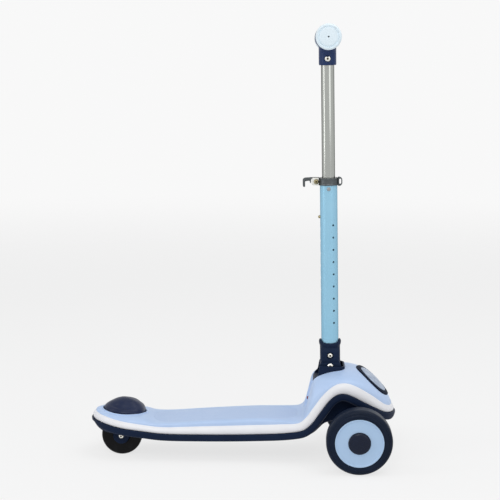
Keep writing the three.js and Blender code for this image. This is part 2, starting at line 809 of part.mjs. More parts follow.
// Bezel round the stem foot, its rim following the hump

function sheetBetween(low, high, x0, x1, halfSpan) {
  const steps = 8;
  const sections = [];
  for (let i = 0; i <= steps; i += 1) {
    const x = THREE.MathUtils.lerp(x0, x1, i / steps);
    sections.push([
      [x, -halfSpan, low(x)], [x, halfSpan, low(x)], [x, halfSpan, high(x)], [x, -halfSpan, high(x)],
    ]);
  }
  return loft(sections);
}

function stemBezel() {
  const z0 = pivotHeight - bezelDrop;
  const frame = cut(bezelOutline(0, z0, pivotHeight + overrun), bezelOutline(bezelWall, z0 - overrun, pivotHeight + 2 * overrun));
  const low = beside(crownLine, -bezelDepth);
  const high = (x) => crownLine(x) + bezelRise(x);
  return common(frame, sheetBetween(low, high, pivotX - bezelRear - overrun, pivotX + bezelFront + overrun, humpHalfWidth));
}

add(scooter, 'stem_bezel', stemBezel(), colours.navy);

// Emblem: a bare disc in a ring, both following the curve of the nose

function emblemTube(halfLength, halfWide) {
  const angle = THREE.MathUtils.degToRad(emblemAngle);
  const x = frontAxleX + emblemSetback;
  const tube = upright(rod(1, -overrun * 3, overrun * 3)).scale(halfLength, halfWide, 1);
  return moved(tube.rotateY(angle), x, 0, crownLine(x));
}

function noseSkin(from, to) {
  const [inner, outer] = [from, to].map((out) => (
    toSolid(domedSolid(shellInset - out, beside(crownLine, out), shellEdge, domePoints))
  ));
  return outer.subtract(inner);
}

const emblemInner = [emblemHalfLength - emblemRingWidth, emblemHalfWidth - emblemRingWidth];
const emblemOutside = toSolid(emblemTube(emblemHalfLength, emblemHalfWidth));
const emblemHole = toSolid(emblemTube(...emblemInner));
const emblemPlug = toSolid(emblemTube(emblemInner[0] - gap, emblemInner[1] - gap));
const emblemRing = noseSkin(gap, emblemRingProud).intersect(emblemOutside.subtract(emblemHole));
const emblemDisc = noseSkin(gap, emblemDiscProud).intersect(emblemPlug);
add(scooter, 'emblem_ring', toGeometry(emblemRing), colours.navy);
add(scooter, 'emblem_disc', toGeometry(emblemDisc), colours.emblem);

// Power button

function powerButton() {
  const cap = buttonAxis(buttonRadius, -buttonProud, hullWall * 2);
  const flange = buttonAxis(buttonFlangeRadius, hullWall * 2, hullWall * 2 + buttonFlange);
  const stem = buttonAxis(buttonRadius / 2, hullWall * 2, hullWall * 2 + buttonFlange + buttonStem - buttonTravel);
  return joined(cap, flange, stem);
}

add(scooter, 'power_button', powerButton(), colours.red);

// Screws that hold pan and top shell together

screwPlaces.forEach(([x, y], k) => {
  const profile = [
    [0, gap], [screwHeadRadius, gap], [screwHeadRadius, hullWall / 2 - gap],
    [screwRadius, hullWall / 2 - gap], [screwRadius, screwLength], [0, screwLength + screwRadius],
  ];
  add(scooter, `pan_screw_${k + 1}`, moved(upright(turned(profile, screwSides)), x, y, rimLine(x)), colours.steel);
});

// Fold bracket: a base plate with two cheeks that carry the stem's pivot bolt

const cheekInside = socketHalfSide + gap;
const cheekOutside = cheekInside + cheekThickness;

function foldBracket() {
  const base = towerTop + gap;
  const top = pivotHeight + cheekRise;
  const left = pivotX - cheekHalfLength;
  const right = pivotX + cheekHalfLength;
  const outline = [
    [left, base], [right, base], [right, top - cheekCorner], [right - cheekCorner * 0.3, top - cheekCorner * 0.3],
    [right - cheekCorner, top], [left + cheekCorner, top], [left + cheekCorner * 0.3, top - cheekCorner * 0.3],
    [left, top - cheekCorner],
  ];
  const whole = joined(
    plate(outline, cheekInside, cheekOutside),
    plate(outline, -cheekOutside, -cheekInside),
    box(left, right, -cheekOutside + gap, cheekOutside - gap, base, base + bracketBase),
  );
  return cut(whole, moved(rod(pivotBoltRadius + pinGap, -2 * cheekOutside, 2 * cheekOutside), pivotX, 0, pivotHeight));
}

add(scooter, 'fold_bracket', foldBracket(), colours.navy);
const pivotEnd = cheekOutside + flatHeadHeight + gap;
const pivotBolt = fastener.bolt(pivotBoltRadius, -cheekOutside - gap, pivotEnd, headRadius, flatHeadHeight);
add(scooter, 'pivot_bolt', moved(pivotBolt, pivotX, 0, pivotHeight), colours.steel);
const pivotNut = fastener.nut(pivotBoltRadius + gap, cheekOutside + gap, pivotEnd);
add(scooter, 'pivot_nut', moved(pivotNut, pivotX, 0, pivotHeight), colours.steel);

// Rear wheel, its axle and the foot brake

const rearAxleEnd = bayHalfWidth + lugThickness;

const rearAxle = fastener.bolt(rearAxleRadius, -rearAxleEnd - gap, rearAxleEnd + gap + nutHeight);
add(scooter, 'rear_axle', moved(rearAxle, rearAxleX, 0, rearTyreRadius), colours.steel);
const rearNut = fastener.nut(rearAxleRadius + gap, rearAxleEnd + gap, rearAxleEnd + gap + nutHeight);
add(scooter, 'rear_axle_nut', moved(rearNut, rearAxleX, 0, rearTyreRadius), colours.steel);

// Tyre profile with rounded shoulders, round a core of the given radius
function tyre(radius, width, shoulder, drop, core) {
  const half = width / 2;
  const inside = core + looseGap;
  const outer = [
    [radius - drop, -half], [radius - drop * 0.35, shoulder * 0.4 - half], [radius, shoulder - half],
    [radius, half - shoulder], [radius - drop * 0.35, half - shoulder * 0.4], [radius - drop, half],
  ];
  return turned([[inside, -half], ...outer, [inside, half], [inside, -half]], wheelSides);
}

// Wheel core: rim, web and hub with a bearing seat at each end; y runs from the inner to the outer side
function core(radius, inner, outer, rimInner, rimOuter) {
  const seat = bearingRadius + gap;
  const hub = seat + hubWall;
  const rimInside = radius - coreRim;
  const web = coreWeb / 2;
  return turned([
    [seat, inner], [hub, inner], [hub, -web], [rimInside, -web], [rimInside, rimInner], [radius, rimInner],
    [radius, rimOuter], [rimInside, rimOuter], [rimInside, web], [hub, web], [hub, outer], [seat, outer],
    [seat, inner],
  ], hubSides);
}

function bearing(at) {
  return ring(bearingRadius, bearingBore, at - bearingWidth / 2, at + bearingWidth / 2, smallSides);
}

const rearWheel = new THREE.Group();
rearWheel.position.set(rearAxleX, 0, rearTyreRadius);
scooter.add(rearWheel);
add(rearWheel, 'rear_tyre', tyre(rearTyreRadius, rearTyreWidth, tyreShoulder / 2, tyreShoulder / 4, rearCoreRadius), colours.rearTyre);
const rearHalf = rearTyreWidth / 2;
const rearBearingAt = rearHalf - bearingWidth / 2;
const rearRim = rearHalf - coreEdge;
add(rearWheel, 'rear_core', core(rearCoreRadius, -rearHalf, rearHalf, -rearRim, rearRim), colours.navy);
add(rearWheel, 'rear_bearing_left', bearing(rearBearingAt), colours.steel);
add(rearWheel, 'rear_bearing_right', bearing(-rearBearingAt), colours.steel);

function brakePedal() {
  const outer = pedalBowl(pedalHalfLength, pedalHalfWidth, pedalDome, pedalSkirt);
  const hollow = pedalBowl(
    pedalHalfLength - pedalWall, pedalHalfWidth - pedalWall, pedalDome - pedalWall, pedalSkirt + overrun,
  );
  const shell = pedalPlaced(cut(outer, hollow));
  const padLow = rearTyreRadius * 2 + brakeGap;
  const padBlock = box(
    rearAxleX - brakePadLength / 2, rearAxleX + brakePadLength / 2,
    -brakePadWidth / 2, brakePadWidth / 2, padLow, pedalRimHeight + pedalDome,
  );
  const underDome = pedalPlaced(
    pedalBowl(pedalHalfLength - pedalWall / 2, pedalHalfWidth - pedalWall / 2, pedalDome - pedalWall / 2, pedalDome),
  );
  const knuckles = [];
  for (const way of [-1, 1]) {
    const ends = [way * brakeSpringHalf, way * brakeKnuckleHalfWidth].sort((a, b) => a - b);
    knuckles.push(moved(rod(brakeKnuckleRadius, ...ends, smallSides), brakeHingeX, 0, brakeHingeZ));
    knuckles.push(common(underDome, box(
      brakeHingeX - brakeKnuckleRadius, brakeHingeX + brakeKnuckleRadius / 2,
      ...ends, brakeHingeZ, pedalRimHeight + pedalDome,
    )));
  }
  const pinHole = rod(brakePinRadius + pinGap, -2 * brakeKnuckleHalfWidth, 2 * brakeKnuckleHalfWidth, smallSides);
  return cut(joined(shell, common(padBlock, underDome), ...knuckles), moved(pinHole, brakeHingeX, 0, brakeHingeZ));
}

add(scooter, 'brake_pedal', brakePedal(), colours.navy);

// Front truck on its inclined kingpin

const kingpinGroup = new THREE.Group();
kingpinGroup.position.set(frontAxleX - kingpinSetback, 0, frontTyreRadius + kingpinRise);
kingpinGroup.rotation.y = THREE.MathUtils.degToRad(kingpinAngle);
scooter.add(kingpinGroup);

function kingpin() {
  const under = -rubberTop - gap;
  return upright(turned([
    [0, under - kingpinHeadHeight], [kingBossRadius * 0.5, under - kingpinHeadHeight],
    [kingBossRadius * 0.5, under], [kingpinRadius, under], [kingpinRadius, rubberTop + kingpinReach],
    [0, rubberTop + kingpinReach],
  ], smallSides));
}

const kingNutAt = rubberTop + gap + kingBossLength + gap;
add(kingpinGroup, 'kingpin', kingpin(), colours.darkSteel);
add(kingpinGroup, 'kingpin_nut', upright(fastener.nut(kingpinRadius + gap, kingNutAt, kingNutAt + nutHeight, nutRadius * 1.3)), colours.steel);

function rubberBush(from) {
  return upright(turned([
    [kingpinRadius + gap, from], [rubberRadius * 0.86, from], [rubberRadius, from + rubberHeight / 2],
    [rubberRadius * 0.86, from + rubberHeight], [kingpinRadius + gap, from + rubberHeight],
    [kingpinRadius + gap, from],
  ], smallSides));
}

add(kingpinGroup, 'bush_upper', rubberBush(trunnionHalfLength + gap), colours.rubber);
add(kingpinGroup, 'bush_lower', rubberBush(-rubberTop), colours.rubber);

function truckBeam() {
  const trunnion = kingpinFrame(upright(rod(trunnionRadius, -trunnionHalfLength, trunnionHalfLength, hubSides)));
  const end = frontWheelOffset - frontTyreWidth / 2 - gap;
  const flange = end - beamTip - beamFlange;
  const beam = turned([
    [0, -end], [beamTipRadius, -end], [beamTipRadius, beamTip - end], [bearingRadius, beamTip - end],
    [bearingRadius, -flange], [beamEndRadius, -flange],
    [beamRadius, -trunnionRadius * 2], [beamRadius, trunnionRadius * 2], [beamEndRadius, flange],
    [bearingRadius, flange], [bearingRadius, end - beamTip], [beamTipRadius, end - beamTip],
    [beamTipRadius, end], [0, end],
  ], smallSides);
  const axleBore = rod(frontAxleRadius + gap, -end - overrun, end + overrun, smallSides);
  const pinBore = kingpinFrame(upright(rod(kingpinRadius + gap, -overrun * 3, overrun * 3, smallSides)));
  const upperRoom = kingpinFrame(upright(rod(kingBossRadius, trunnionHalfLength, overrun * 4, smallSides)));
  const lowerRoom = kingpinFrame(upright(rod(kingBossRadius, -overrun * 4, -trunnionHalfLength, smallSides)));
  const whole = joined(trunnion, moved(beam, frontAxleX, 0, frontTyreRadius));
  return cut(whole, moved(axleBore, frontAxleX, 0, frontTyreRadius), pinBore, upperRoom, lowerRoom);
}

add(scooter, 'truck_beam', truckBeam(), colours.darkSteel);

const frontHalf = frontTyreWidth / 2;
const discBack = frontHalf - discRecess - discThickness;
const hubFace = discBack - gap;
const axleEnd = frontWheelOffset + hubFace + gap + axleNutHeight;
const frontAxle = rod(frontAxleRadius, -axleEnd, axleEnd, smallSides);
add(scooter, 'front_axle', moved(frontAxle, frontAxleX, 0, frontTyreRadius), colours.steel);

// Front wheels; the outer face of each points away from the scooter

function coverDisc() {
  const face = frontHalf - discRecess;
  const lip = frontCoreRadius - coreRim;
  return turned([
    [hubCapRadius + gap, discBack], [frontCoreRadius, discBack], [frontCoreRadius, frontHalf],
    [lip, frontHalf], [lip - coreEdge, face], [hubCapRadius + gap, face], [hubCapRadius + gap, discBack],
  ], wheelSides);
}

function hubCap() {
  const inside = hubCapRadius - hubCapWall;
  return turned([
    [0, frontHalf + gap], [inside, frontHalf + gap], [inside, discBack], [hubCapRadius, discBack],
    [hubCapRadius, frontHalf], [hubCapRadius * 0.85, frontHalf + hubCapDome * 0.6],
    [hubCapRadius * 0.5, frontHalf + hubCapDome * 0.95], [0, frontHalf + hubCapDome],
  ], roundSides);
}

function frontCore() {
  const body = core(frontCoreRadius, -frontHalf, hubFace, coreEdge - frontHalf, hubFace);
  const ringRadius = (frontCoreRadius - coreRim + bearingRadius + hubWall) / 2;
  const holes = [];
  for (let k = 0; k < coreHoleCount; k += 1) {
    const turn = (2 * Math.PI * k) / coreHoleCount;
    const hole = rod(coreHoleRadius, -coreWeb, coreWeb, 8);
    holes.push(moved(hole, ringRadius * Math.cos(turn), 0, ringRadius * Math.sin(turn)));
  }
  return cut(body, ...holes);
}

for (const [side, way] of [['left', 1], ['right', -1]]) {
  const wheel = new THREE.Group();
  wheel.position.set(frontAxleX, way * frontWheelOffset, frontTyreRadius);
  if (way < 0) wheel.rotation.z = Math.PI;
  scooter.add(wheel);
  add(wheel, `front_tyre_${side}`, tyre(frontTyreRadius, frontTyreWidth, tyreShoulder, tyreShoulder, frontCoreRadius), colours.frontTyre);
  add(wheel, `front_core_${side}`, frontCore(), colours.navy);
  add(wheel, `cover_disc_${side}`, coverDisc(), colours.wheelBlue);
  add(wheel, `hub_cap_${side}`, hubCap(), colours.navy);
  add(wheel, `outer_bearing_${side}`, bearing(hubFace - bearingWidth / 2), colours.steel);
  add(wheel, `inner_bearing_${side}`, bearing(bearingWidth / 2 - frontHalf), colours.steel);
  const nut = fastener.nut(frontAxleRadius + gap, hubFace + gap, hubFace + gap + axleNutHeight);
  add(wheel, `axle_nut_${side}`, nut, colours.steel);
}

// Stem: everything below leans back a little, with heights measured up from the pivot

const stem = new THREE.Group();
stem.position.set(pivotX, 0, pivotHeight);
stem.rotation.y = -THREE.MathUtils.degToRad(stemLean);
scooter.add(stem);

const socketShank = pivotBoltRadius * 0.75;
const boltSeat = socketHalfSide - socketRecess;

function stemSocket() {
  const column = upright(rod(socketRadius, 0, socketHeight));
  const lipFoot = socketHeight - socketScoop - socketLipHeight;
  const lip = upright(turned([
    [0, lipFoot - socketLip], [socketRadius - gap, lipFoot - socketLip],
    [socketRadius + socketLip, lipFoot], [socketRadius + socketLip, socketHeight - socketLip],
    [socketRadius + socketLip / 2, socketHeight], [0, socketHeight],
  ]));
  const scoop = moved(
    rod(socketScoopRadius, -2 * socketRadius, 2 * socketRadius), 0, 0,
    socketHeight - socketScoop + socketScoopRadius,
  );
  const knuckle = rod(socketRadius, -socketHalfSide, socketHalfSide);
  const boss = rod(socketBossRadius, -socketHalfSide, socketHalfSide, hubSides);
  const cheek = box(-socketBossRadius, socketBossRadius, -socketHalfSide, socketHalfSide, 0, socketBoltHeight);
  const bore = upright(rod(outerTubeRadius + gap, socketFloor, socketHeight + overrun));
  const pivotHole = rod(pivotBoltRadius + pinGap, -2 * socketRadius, 2 * socketRadius);
  const boltHole = rod(socketShank + gap, -2 * socketRadius, 2 * socketRadius, smallSides);
  const body = joined(column, lip, knuckle, cheek, moved(boss, 0, 0, socketBoltHeight));
  const counterbores = [-1, 1].map((way) => {
    const ends = [way * boltSeat, way * 2 * socketRadius].sort((a, b) => a - b);
    return moved(rod(counterboreRadius, ...ends, smallSides), 0, 0, socketBoltHeight);
  });
  return cut(body, bore, scoop, pivotHole, moved(boltHole, 0, 0, socketBoltHeight), ...counterbores);
}

add(stem, 'stem_socket', stemSocket(), colours.navy);
const socketBolt = fastener.bolt(socketShank, -boltSeat - gap, socketHalfSide - gap, headRadius, flatHeadHeight);
add(stem, 'socket_bolt', moved(socketBolt, 0, 0, socketBoltHeight), colours.steel);
const socketNut = fastener.nut(socketShank + gap, boltSeat + gap, socketHalfSide - gap, counterboreRadius - gap);
add(stem, 'socket_nut', moved(socketNut, 0, 0, socketBoltHeight), colours.steel);

// Hole through one wall of a stem tube, its direction turned from +X about the tube
function crossHole(radius, height, turn, reach, sides = smallSides) {
  const hole = rod(radius, 0, reach, sides).rotateZ(turn - Math.PI / 2);
  return moved(hole, 0, 0, height);
}

function outerTube() {
  const body = upright(ring(outerTubeRadius, outerTubeRadius - outerTubeWall, socketFloor + gap, outerTubeTop));
  const reach = outerTubeRadius * 2;
  const tools = [
    moved(rod(socketShank + gap, -reach, reach, smallSides), 0, 0, socketBoltHeight),
    crossHole(rivetRadius / 2, rivetHeight, -Math.PI / 2, reach, 8),
  ];
  const sightTurn = THREE.MathUtils.degToRad(sightHoleTurn) - Math.PI / 2;
  for (let k = 0; k < sightHoleCount; k += 1) {
    tools.push(crossHole(sightHoleRadius, sightHoleTop - k * holePitch, sightTurn, reach, 6));
  }
  for (let k = 0; k < snapHoleCount; k += 1) {
    tools.push(crossHole(snapRadius + looseGap, snapHeight - k * holePitch, Math.PI, reach, 8));
  }
  return cut(body, ...tools);
}

add(stem, 'outer_tube', outerTube(), colours.skyPaint);

const tubeInside = outerTubeRadius - outerTubeWall;

function tubeBush() {
  const inner = innerTubeRadius + gap;
  return upright(turned([
    [inner, outerTubeTop - bushLength], [tubeInside - gap, outerTubeTop - bushLength],
    [tubeInside - gap, outerTubeTop + gap], [outerTubeRadius - gap, outerTubeTop + gap],
    [outerTubeRadius - gap, outerTubeTop + gap + bushLip], [inner, outerTubeTop + gap + bushLip],
    [inner, outerTubeTop - bushLength],
  ]));
}

function rivetHoleInBush() {
  return crossHole(rivetRadius / 2, rivetHeight, -Math.PI / 2, outerTubeRadius * 2, 8);
}

add(stem, 'tube_bush', cut(tubeBush(), rivetHoleInBush()), colours.softWhite);

function guideRivet() {
  const face = outerTubeRadius + gap;
  const profile = [
    [0, -face - rivetProud], [rivetRadius * 0.7, -face - rivetProud], [rivetRadius, -face - rivetProud / 3],
    [rivetRadius, -face], [rivetRadius / 2 - gap, -face], [rivetRadius / 2 - gap, gap - tubeInside],
    [0, gap - tubeInside],
  ];
  return moved(turned(profile, smallSides), 0, 0, rivetHeight);
}

add(stem, 'guide_rivet', guideRivet(), colours.steel);

// Quick-release collar, its bolt, the pin in the cam and the lever

const collarInside = outerTubeRadius + gap;
const collarOutside = collarInside + clampWall;

function clampCollar() {
  const top = clampBase + clampHeight;
  const band = upright(ring(collarOutside, collarInside, clampBase, top));
  const earInside = clampSlit / 2;
  const earOutside = earInside + clampEarThickness;
  const earEnd = -collarInside - clampEarLength;
  const ears = [1, -1].map((way) => box(
    earEnd, -collarInside - gap, Math.min(way * earInside, way * earOutside), Math.max(way * earInside, way * earOutside),
    clampBase, top,
  ));
  const slit = box(-2 * collarOutside, 0, -earInside, earInside, clampBase - overrun, top + overrun);
  const loop = box(
    collarOutside - clampWall / 2, collarOutside + clampLoopWidth, -clampLoopWidth / 2, clampLoopWidth / 2,
    clampBase - clampLoopRise, top + clampLoopRise,
  );
  const loopEye = box(
    collarOutside + clampWall, collarOutside + clampLoopWidth - clampWall, -clampLoopWidth, clampLoopWidth,
    clampBase + clampWall, top - clampWall,
  );
  const boltHole = moved(rod(clampBoltRadius + gap, -overrun, overrun, smallSides), -clampBoltSetback, 0, clampBase + clampHeight / 2);
  const lipRoom = upright(rod(outerTubeRadius + gap, clampBase - overrun, top + overrun));
  return cut(joined(band, ...ears, loop), slit, loopEye, boltHole, lipRoom);
}

add(stem, 'clamp_collar', clampCollar(), colours.darkSteel);
const clampMiddle = clampBase + clampHeight / 2;
const earFace = clampSlit / 2 + clampEarThickness;
const leverPinY = earFace + leverHubRadius + looseGap;

function clampBolt() {
  const body = fastener.bolt(clampBoltRadius, -earFace - gap, leverPinY + clampPinRadius * 2, clampHeadRadius, headHeight);
  const eye = upright(rod(clampPinRadius + pinGap, -overrun, overrun, smallSides));
  return cut(body, moved(eye, 0, leverPinY, 0));
}

add(stem, 'clamp_bolt', moved(clampBolt(), -clampBoltSetback, 0, clampMiddle), colours.brass);
const pinReach = clampHeight / 2 - gap;
add(stem, 'clamp_pin', moved(upright(rod(clampPinRadius, -pinReach, pinReach, smallSides)), -clampBoltSetback, leverPinY, clampMiddle), colours.steel);

function clampLever() {
  const half = clampHeight / 2;
  const low = leverPinY - leverHubRadius + looseGap;
  const high = low + leverWidth;
  const back = clampBoltSetback - leverReach;
  const front = -collarInside - clampEarLength + clampBoltSetback - looseGap;
  const outline = [
    [back, half - leverDrop * 0.3], [back + leverDrop * 0.3, half - leverThickness * 0.3], [front, half],
    [leverHubRadius * 0.5, half], [leverHubRadius * 0.5, half - leverThickness],
    [front, half - leverThickness * 1.2], [front - leverThickness, half - leverDrop * 0.6],
    [back + 2 * leverThickness, half - leverDrop * 0.75], [back + 2 * leverThickness, -half - leverDrop * 0.4],
    [back + leverThickness * 0.4, -half - leverDrop * 0.4], [back, -half],
  ];
  const hub = upright(rod(leverHubRadius, -half, half));
  const arm = plate(outline, low, high);
  const web = box(front - leverThickness, 0, high - leverThickness, high, leverThickness - half, half);
  const fork = box(-leverHubRadius * 1.6, leverHubRadius * 2, -leverWidth, clampBoltRadius * 2, -clampBoltRadius - gap * 2, clampBoltRadius + gap * 2);
  const pinHole = upright(rod(clampPinRadius + pinGap, -half - overrun, half + overrun, smallSides));
  const earRoom = box(front, leverHubRadius * 2, -leverWidth, earFace + looseGap, -half - overrun, half + overrun);
  const hubPlaced = moved(hub, 0, leverPinY, 0);
  const body = cut(joined(arm, web, hubPlaced), earRoom, moved(fork, 0, leverPinY, 0), moved(pinHole, 0, leverPinY, 0));
  return moved(body, -clampBoltSetback, 0, clampMiddle);
}

add(stem, 'clamp_lever', clampLever(), colours.darkSteel);

// Handlebar post

function innerTube() {
  const body = upright(ring(innerTubeRadius, innerTubeRadius - innerTubeWall, innerTubeFoot, innerTubeTop));
  const snapHole = crossHole(snapRadius + gap, snapHeight, Math.PI, innerTubeRadius * 2, smallSides);
  const boltHole = rod(socketShank + gap, -innerTubeRadius * 2, innerTubeRadius * 2, smallSides);
  return cut(body, snapHole, moved(boltHole, 0, 0, neckBoltHeight));
}

add(stem, 'inner_tube', innerTube(), colours.steel);

function snapButton() {
  const tip = outerTubeRadius + snapProud;
  const inside = innerTubeRadius - innerTubeWall - gap;
  const profile = [
    [0, tip], [snapRadius * 0.55, tip - snapRadius * 0.25], [snapRadius, tip - snapRadius],
    [snapRadius, inside - 2 * gap], [snapRadius * 1.5, inside - 5 * gap], [snapRadius * 1.5, inside - 10 * gap],
    [0, inside - 10 * gap],
  ];
  return moved(turned(profile, smallSides).rotateZ(Math.PI / 2), 0, 0, snapHeight);
}

add(stem, 'snap_button', snapButton(), colours.brass);

function tBracket() {
  const barrel = moved(turned([
    [0, -barrelHalfLength], [barrelRadius * 0.93, -barrelHalfLength], [barrelRadius, -barrelHalfLength * 0.9],
    [barrelRadius, barrelHalfLength * 0.9], [barrelRadius * 0.93, barrelHalfLength], [0, barrelHalfLength],
  ]), 0, 0, gripHeight);
  const neck = upright(turned([
    [0, neckFoot], [neckRadius, neckFoot], [neckRadius, gripHeight - barrelRadius * 1.1],
    [neckRadius * 1.3, gripHeight - barrelRadius * 0.5], [neckRadius * 1.3, gripHeight], [0, gripHeight],
  ]));
  const barBore = moved(rod(barRadius + gap, -2 * barrelHalfLength, 2 * barrelHalfLength), 0, 0, gripHeight);
  const tubeBore = upright(rod(innerTubeRadius + gap, neckFoot - overrun, innerTubeTop + gap));
  const boltHole = rod(socketShank + gap, -2 * neckRadius, 2 * neckRadius, smallSides);
  const recess = rod(counterboreRadius, -2 * neckRadius, -neckRadius + headHeight / 2, smallSides);
  return cut(joined(barrel, neck), barBore, tubeBore, moved(boltHole, 0, 0, neckBoltHeight), moved(recess, 0, 0, neckBoltHeight));
}

add(stem, 't_bracket', tBracket(), colours.navy);
const neckBolt = fastener.bolt(socketShank, -neckRadius + headHeight / 2 - gap, neckRadius - gap);
add(stem, 'bracket_bolt', moved(neckBolt, 0, 0, neckBoltHeight), colours.steel);

const bar = ring(barRadius, barRadius - innerTubeWall, -barHalfLength, barHalfLength);
add(stem, 'handlebar_tube', moved(bar, 0, 0, gripHeight), colours.steel);

function grip() {
  const start = barrelHalfLength + gap;
  const bore = barRadius + gap;
  const endStart = gripHalfSpan - gripEndLength;
  const profile = [[bore, start], [gripRadius * 1.15, start], [gripRadius * 1.15, start + gripDish]];
  const ribRun = (endStart - start - 3 * gripDish) / (gripRibCount * 2);
  for (let k = 0; k < gripRibCount * 2; k += 1) {
    const swell = k % 2 ? 0 : -gripRibDepth;
    profile.push([gripRadius + swell, start + gripDish + ribRun * (k + 1)]);
  }
  profile.push(
    [gripEndRadius - gripDish, endStart], [gripEndRadius, endStart + gripDish], [gripEndRadius, gripHalfSpan - gripDish],
    [gripEndRadius - gripDish / 2, gripHalfSpan], [gripDishRadius + gripDish / 3, gripHalfSpan],
    [gripDishRadius, gripHalfSpan - gripDish], [gripVentRadius, gripHalfSpan - gripDish],
    [gripVentRadius, barHalfLength + gap], [bore, barHalfLength + gap], [bore, start],
  );
  return moved(turned(profile, hubSides), 0, 0, gripHeight);
}

add(stem, 'grip_left', grip(), colours.gripBlue);
add(stem, 'grip_right', grip().rotateZ(Math.PI), colours.gripBlue);

// Brake hinge pin and the torsion spring on it, which lifts the pedal off the tyre

const brakePinHalf = brakeKnuckleHalfWidth + gap + brakeEarThickness;
const brakePin = rod(brakePinRadius, -brakePinHalf, brakePinHalf, smallSides);
add(scooter, 'brake_pin', moved(brakePin, brakeHingeX, 0, brakeHingeZ), colours.steel);

class SpringCurve extends THREE.Curve {
  // A helix round the pin with a straight leg at each end
  getPoint(t) {
    const turn = 2 * Math.PI * brakeSpringTurns;
    const half = brakeSpringHalf - gap - brakeWireRadius;
    const coil = THREE.MathUtils.clamp((t - 0.1) / 0.8, 0, 1);
    const angle = turn * coil;
    const lead = Math.max(0.1 - t, 0) * 10 * brakeSpringLeg;
    const trail = Math.max(t - 0.9, 0) * 10 * brakeSpringLeg;
    const x = brakeSpringRadius * Math.sin(angle) + trail * Math.cos(turn);
    const z = -brakeSpringRadius * Math.cos(angle);
    return new THREE.Vector3(x + lead, half * (2 * coil - 1), z);
  }
}

function brakeSpring() {
  const wire = new THREE.Shape();
  for (let k = 0; k < wireSides; k += 1) {
    const angle = (2 * Math.PI * k) / wireSides;
    const corner = [brakeWireRadius * Math.cos(angle), brakeWireRadius * Math.sin(angle)];
    if (k === 0) wire.moveTo(...corner);
    else wire.lineTo(...corner);
  }
  const path = new SpringCurve();
  const settings = { steps: 9 * brakeSpringTurns, bevelEnabled: false, extrudePath: path };
  return moved(closed(new THREE.ExtrudeGeometry(wire, settings)), brakeHingeX, 0, brakeHingeZ);
}

// Least gap of a wound wire to itself, between points of its path half a turn or more apart
function leastGap(path, turns, radius) {
  const stepsInTurn = 24;
  const points = path.getSpacedPoints(stepsInTurn * turns);
  const gaps = points.flatMap((point, k) => (
    points.slice(k + stepsInTurn / 2).map((other) => point.distanceTo(other) - 2 * radius)
  ));
  return Math.min(...gaps);
}

const springGap = leastGap(new SpringCurve(), brakeSpringTurns, brakeWireRadius);
console.log(`brake_spring: least gap to itself ${springGap.toFixed(2)} mm`);

add(scooter, 'brake_spring', brakeSpring(), colours.steel);

export default scooter;
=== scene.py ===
import math

import bmesh
import bpy
from mathutils import Matrix, Vector


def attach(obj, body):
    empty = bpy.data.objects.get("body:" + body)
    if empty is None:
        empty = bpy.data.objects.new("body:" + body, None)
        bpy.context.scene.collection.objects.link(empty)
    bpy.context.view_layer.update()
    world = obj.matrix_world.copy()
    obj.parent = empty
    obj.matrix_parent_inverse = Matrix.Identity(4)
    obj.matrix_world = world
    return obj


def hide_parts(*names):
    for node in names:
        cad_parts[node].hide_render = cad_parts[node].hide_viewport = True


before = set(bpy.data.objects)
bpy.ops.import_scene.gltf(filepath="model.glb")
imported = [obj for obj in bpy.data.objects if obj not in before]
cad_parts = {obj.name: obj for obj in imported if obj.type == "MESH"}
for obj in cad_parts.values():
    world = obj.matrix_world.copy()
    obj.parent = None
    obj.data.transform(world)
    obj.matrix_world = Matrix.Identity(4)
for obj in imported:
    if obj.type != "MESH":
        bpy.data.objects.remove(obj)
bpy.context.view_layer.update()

# Three wheel kids scooter: smooth moulded skins, finishes, camera and light over the fixed CAD frame.
# Sizes are millimetres and degrees, but metres in node trees and in the studio.
mm = 0.001
scene = bpy.context.scene
print("frame loaded with", len(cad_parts), "nodes")


# Mesh tools

def linked(name, data):
    made = bpy.data.objects.new(name, data)
    scene.collection.objects.link(made)
    return made


def meshObject(name, bm):
    mesh = bpy.data.meshes.new(name)
    bm.to_mesh(mesh)
    bm.free()
    return linked(name, mesh)


def objectFrom(name, bm, place):
    bm.transform(Matrix.Scale(mm, 4) @ place)
    bmesh.ops.remove_doubles(bm, verts=bm.verts, dist=2e-6)
    bmesh.ops.dissolve_degenerate(bm, edges=bm.edges, dist=1e-6)
    bmesh.ops.recalc_face_normals(bm, faces=bm.faces)
    return meshObject(name, bm)


def rounded(points, steps=4, loop=False):
    # a point is (a, b), or (a, b, r) where the corner is rounded off over the length r
    out = []
    count = len(points)
    for i, point in enumerate(points):
        ends = not loop and i in (0, count - 1)
        if len(point) == 2 or ends:
            out.append((point[0], point[1]))
            continue
        here = Vector(point[:2])
        back = Vector(points[i - 1][:2]) - here
        ahead = Vector(points[(i + 1) % count][:2]) - here
        reach = min(point[2], 0.48 * back.length, 0.48 * ahead.length)
        start = here + back.normalized() * reach
        end = here + ahead.normalized() * reach
        for k in range(steps + 1):
            t = k / steps
            spot = start * (1 - t) ** 2 + here * 2 * t * (1 - t) + end * t * t
            out.append((spot.x, spot.y))
    return out


def around(count):
    return [2 * math.pi * k / count for k in range(count)]


def superRound(turn, power):
    # a point of the unit circle, squared off by a power above 2
    c, s = math.cos(turn), math.sin(turn)
    reach = (abs(c) ** power + abs(s) ** power) ** (-1 / power)
    return reach * c, reach * s


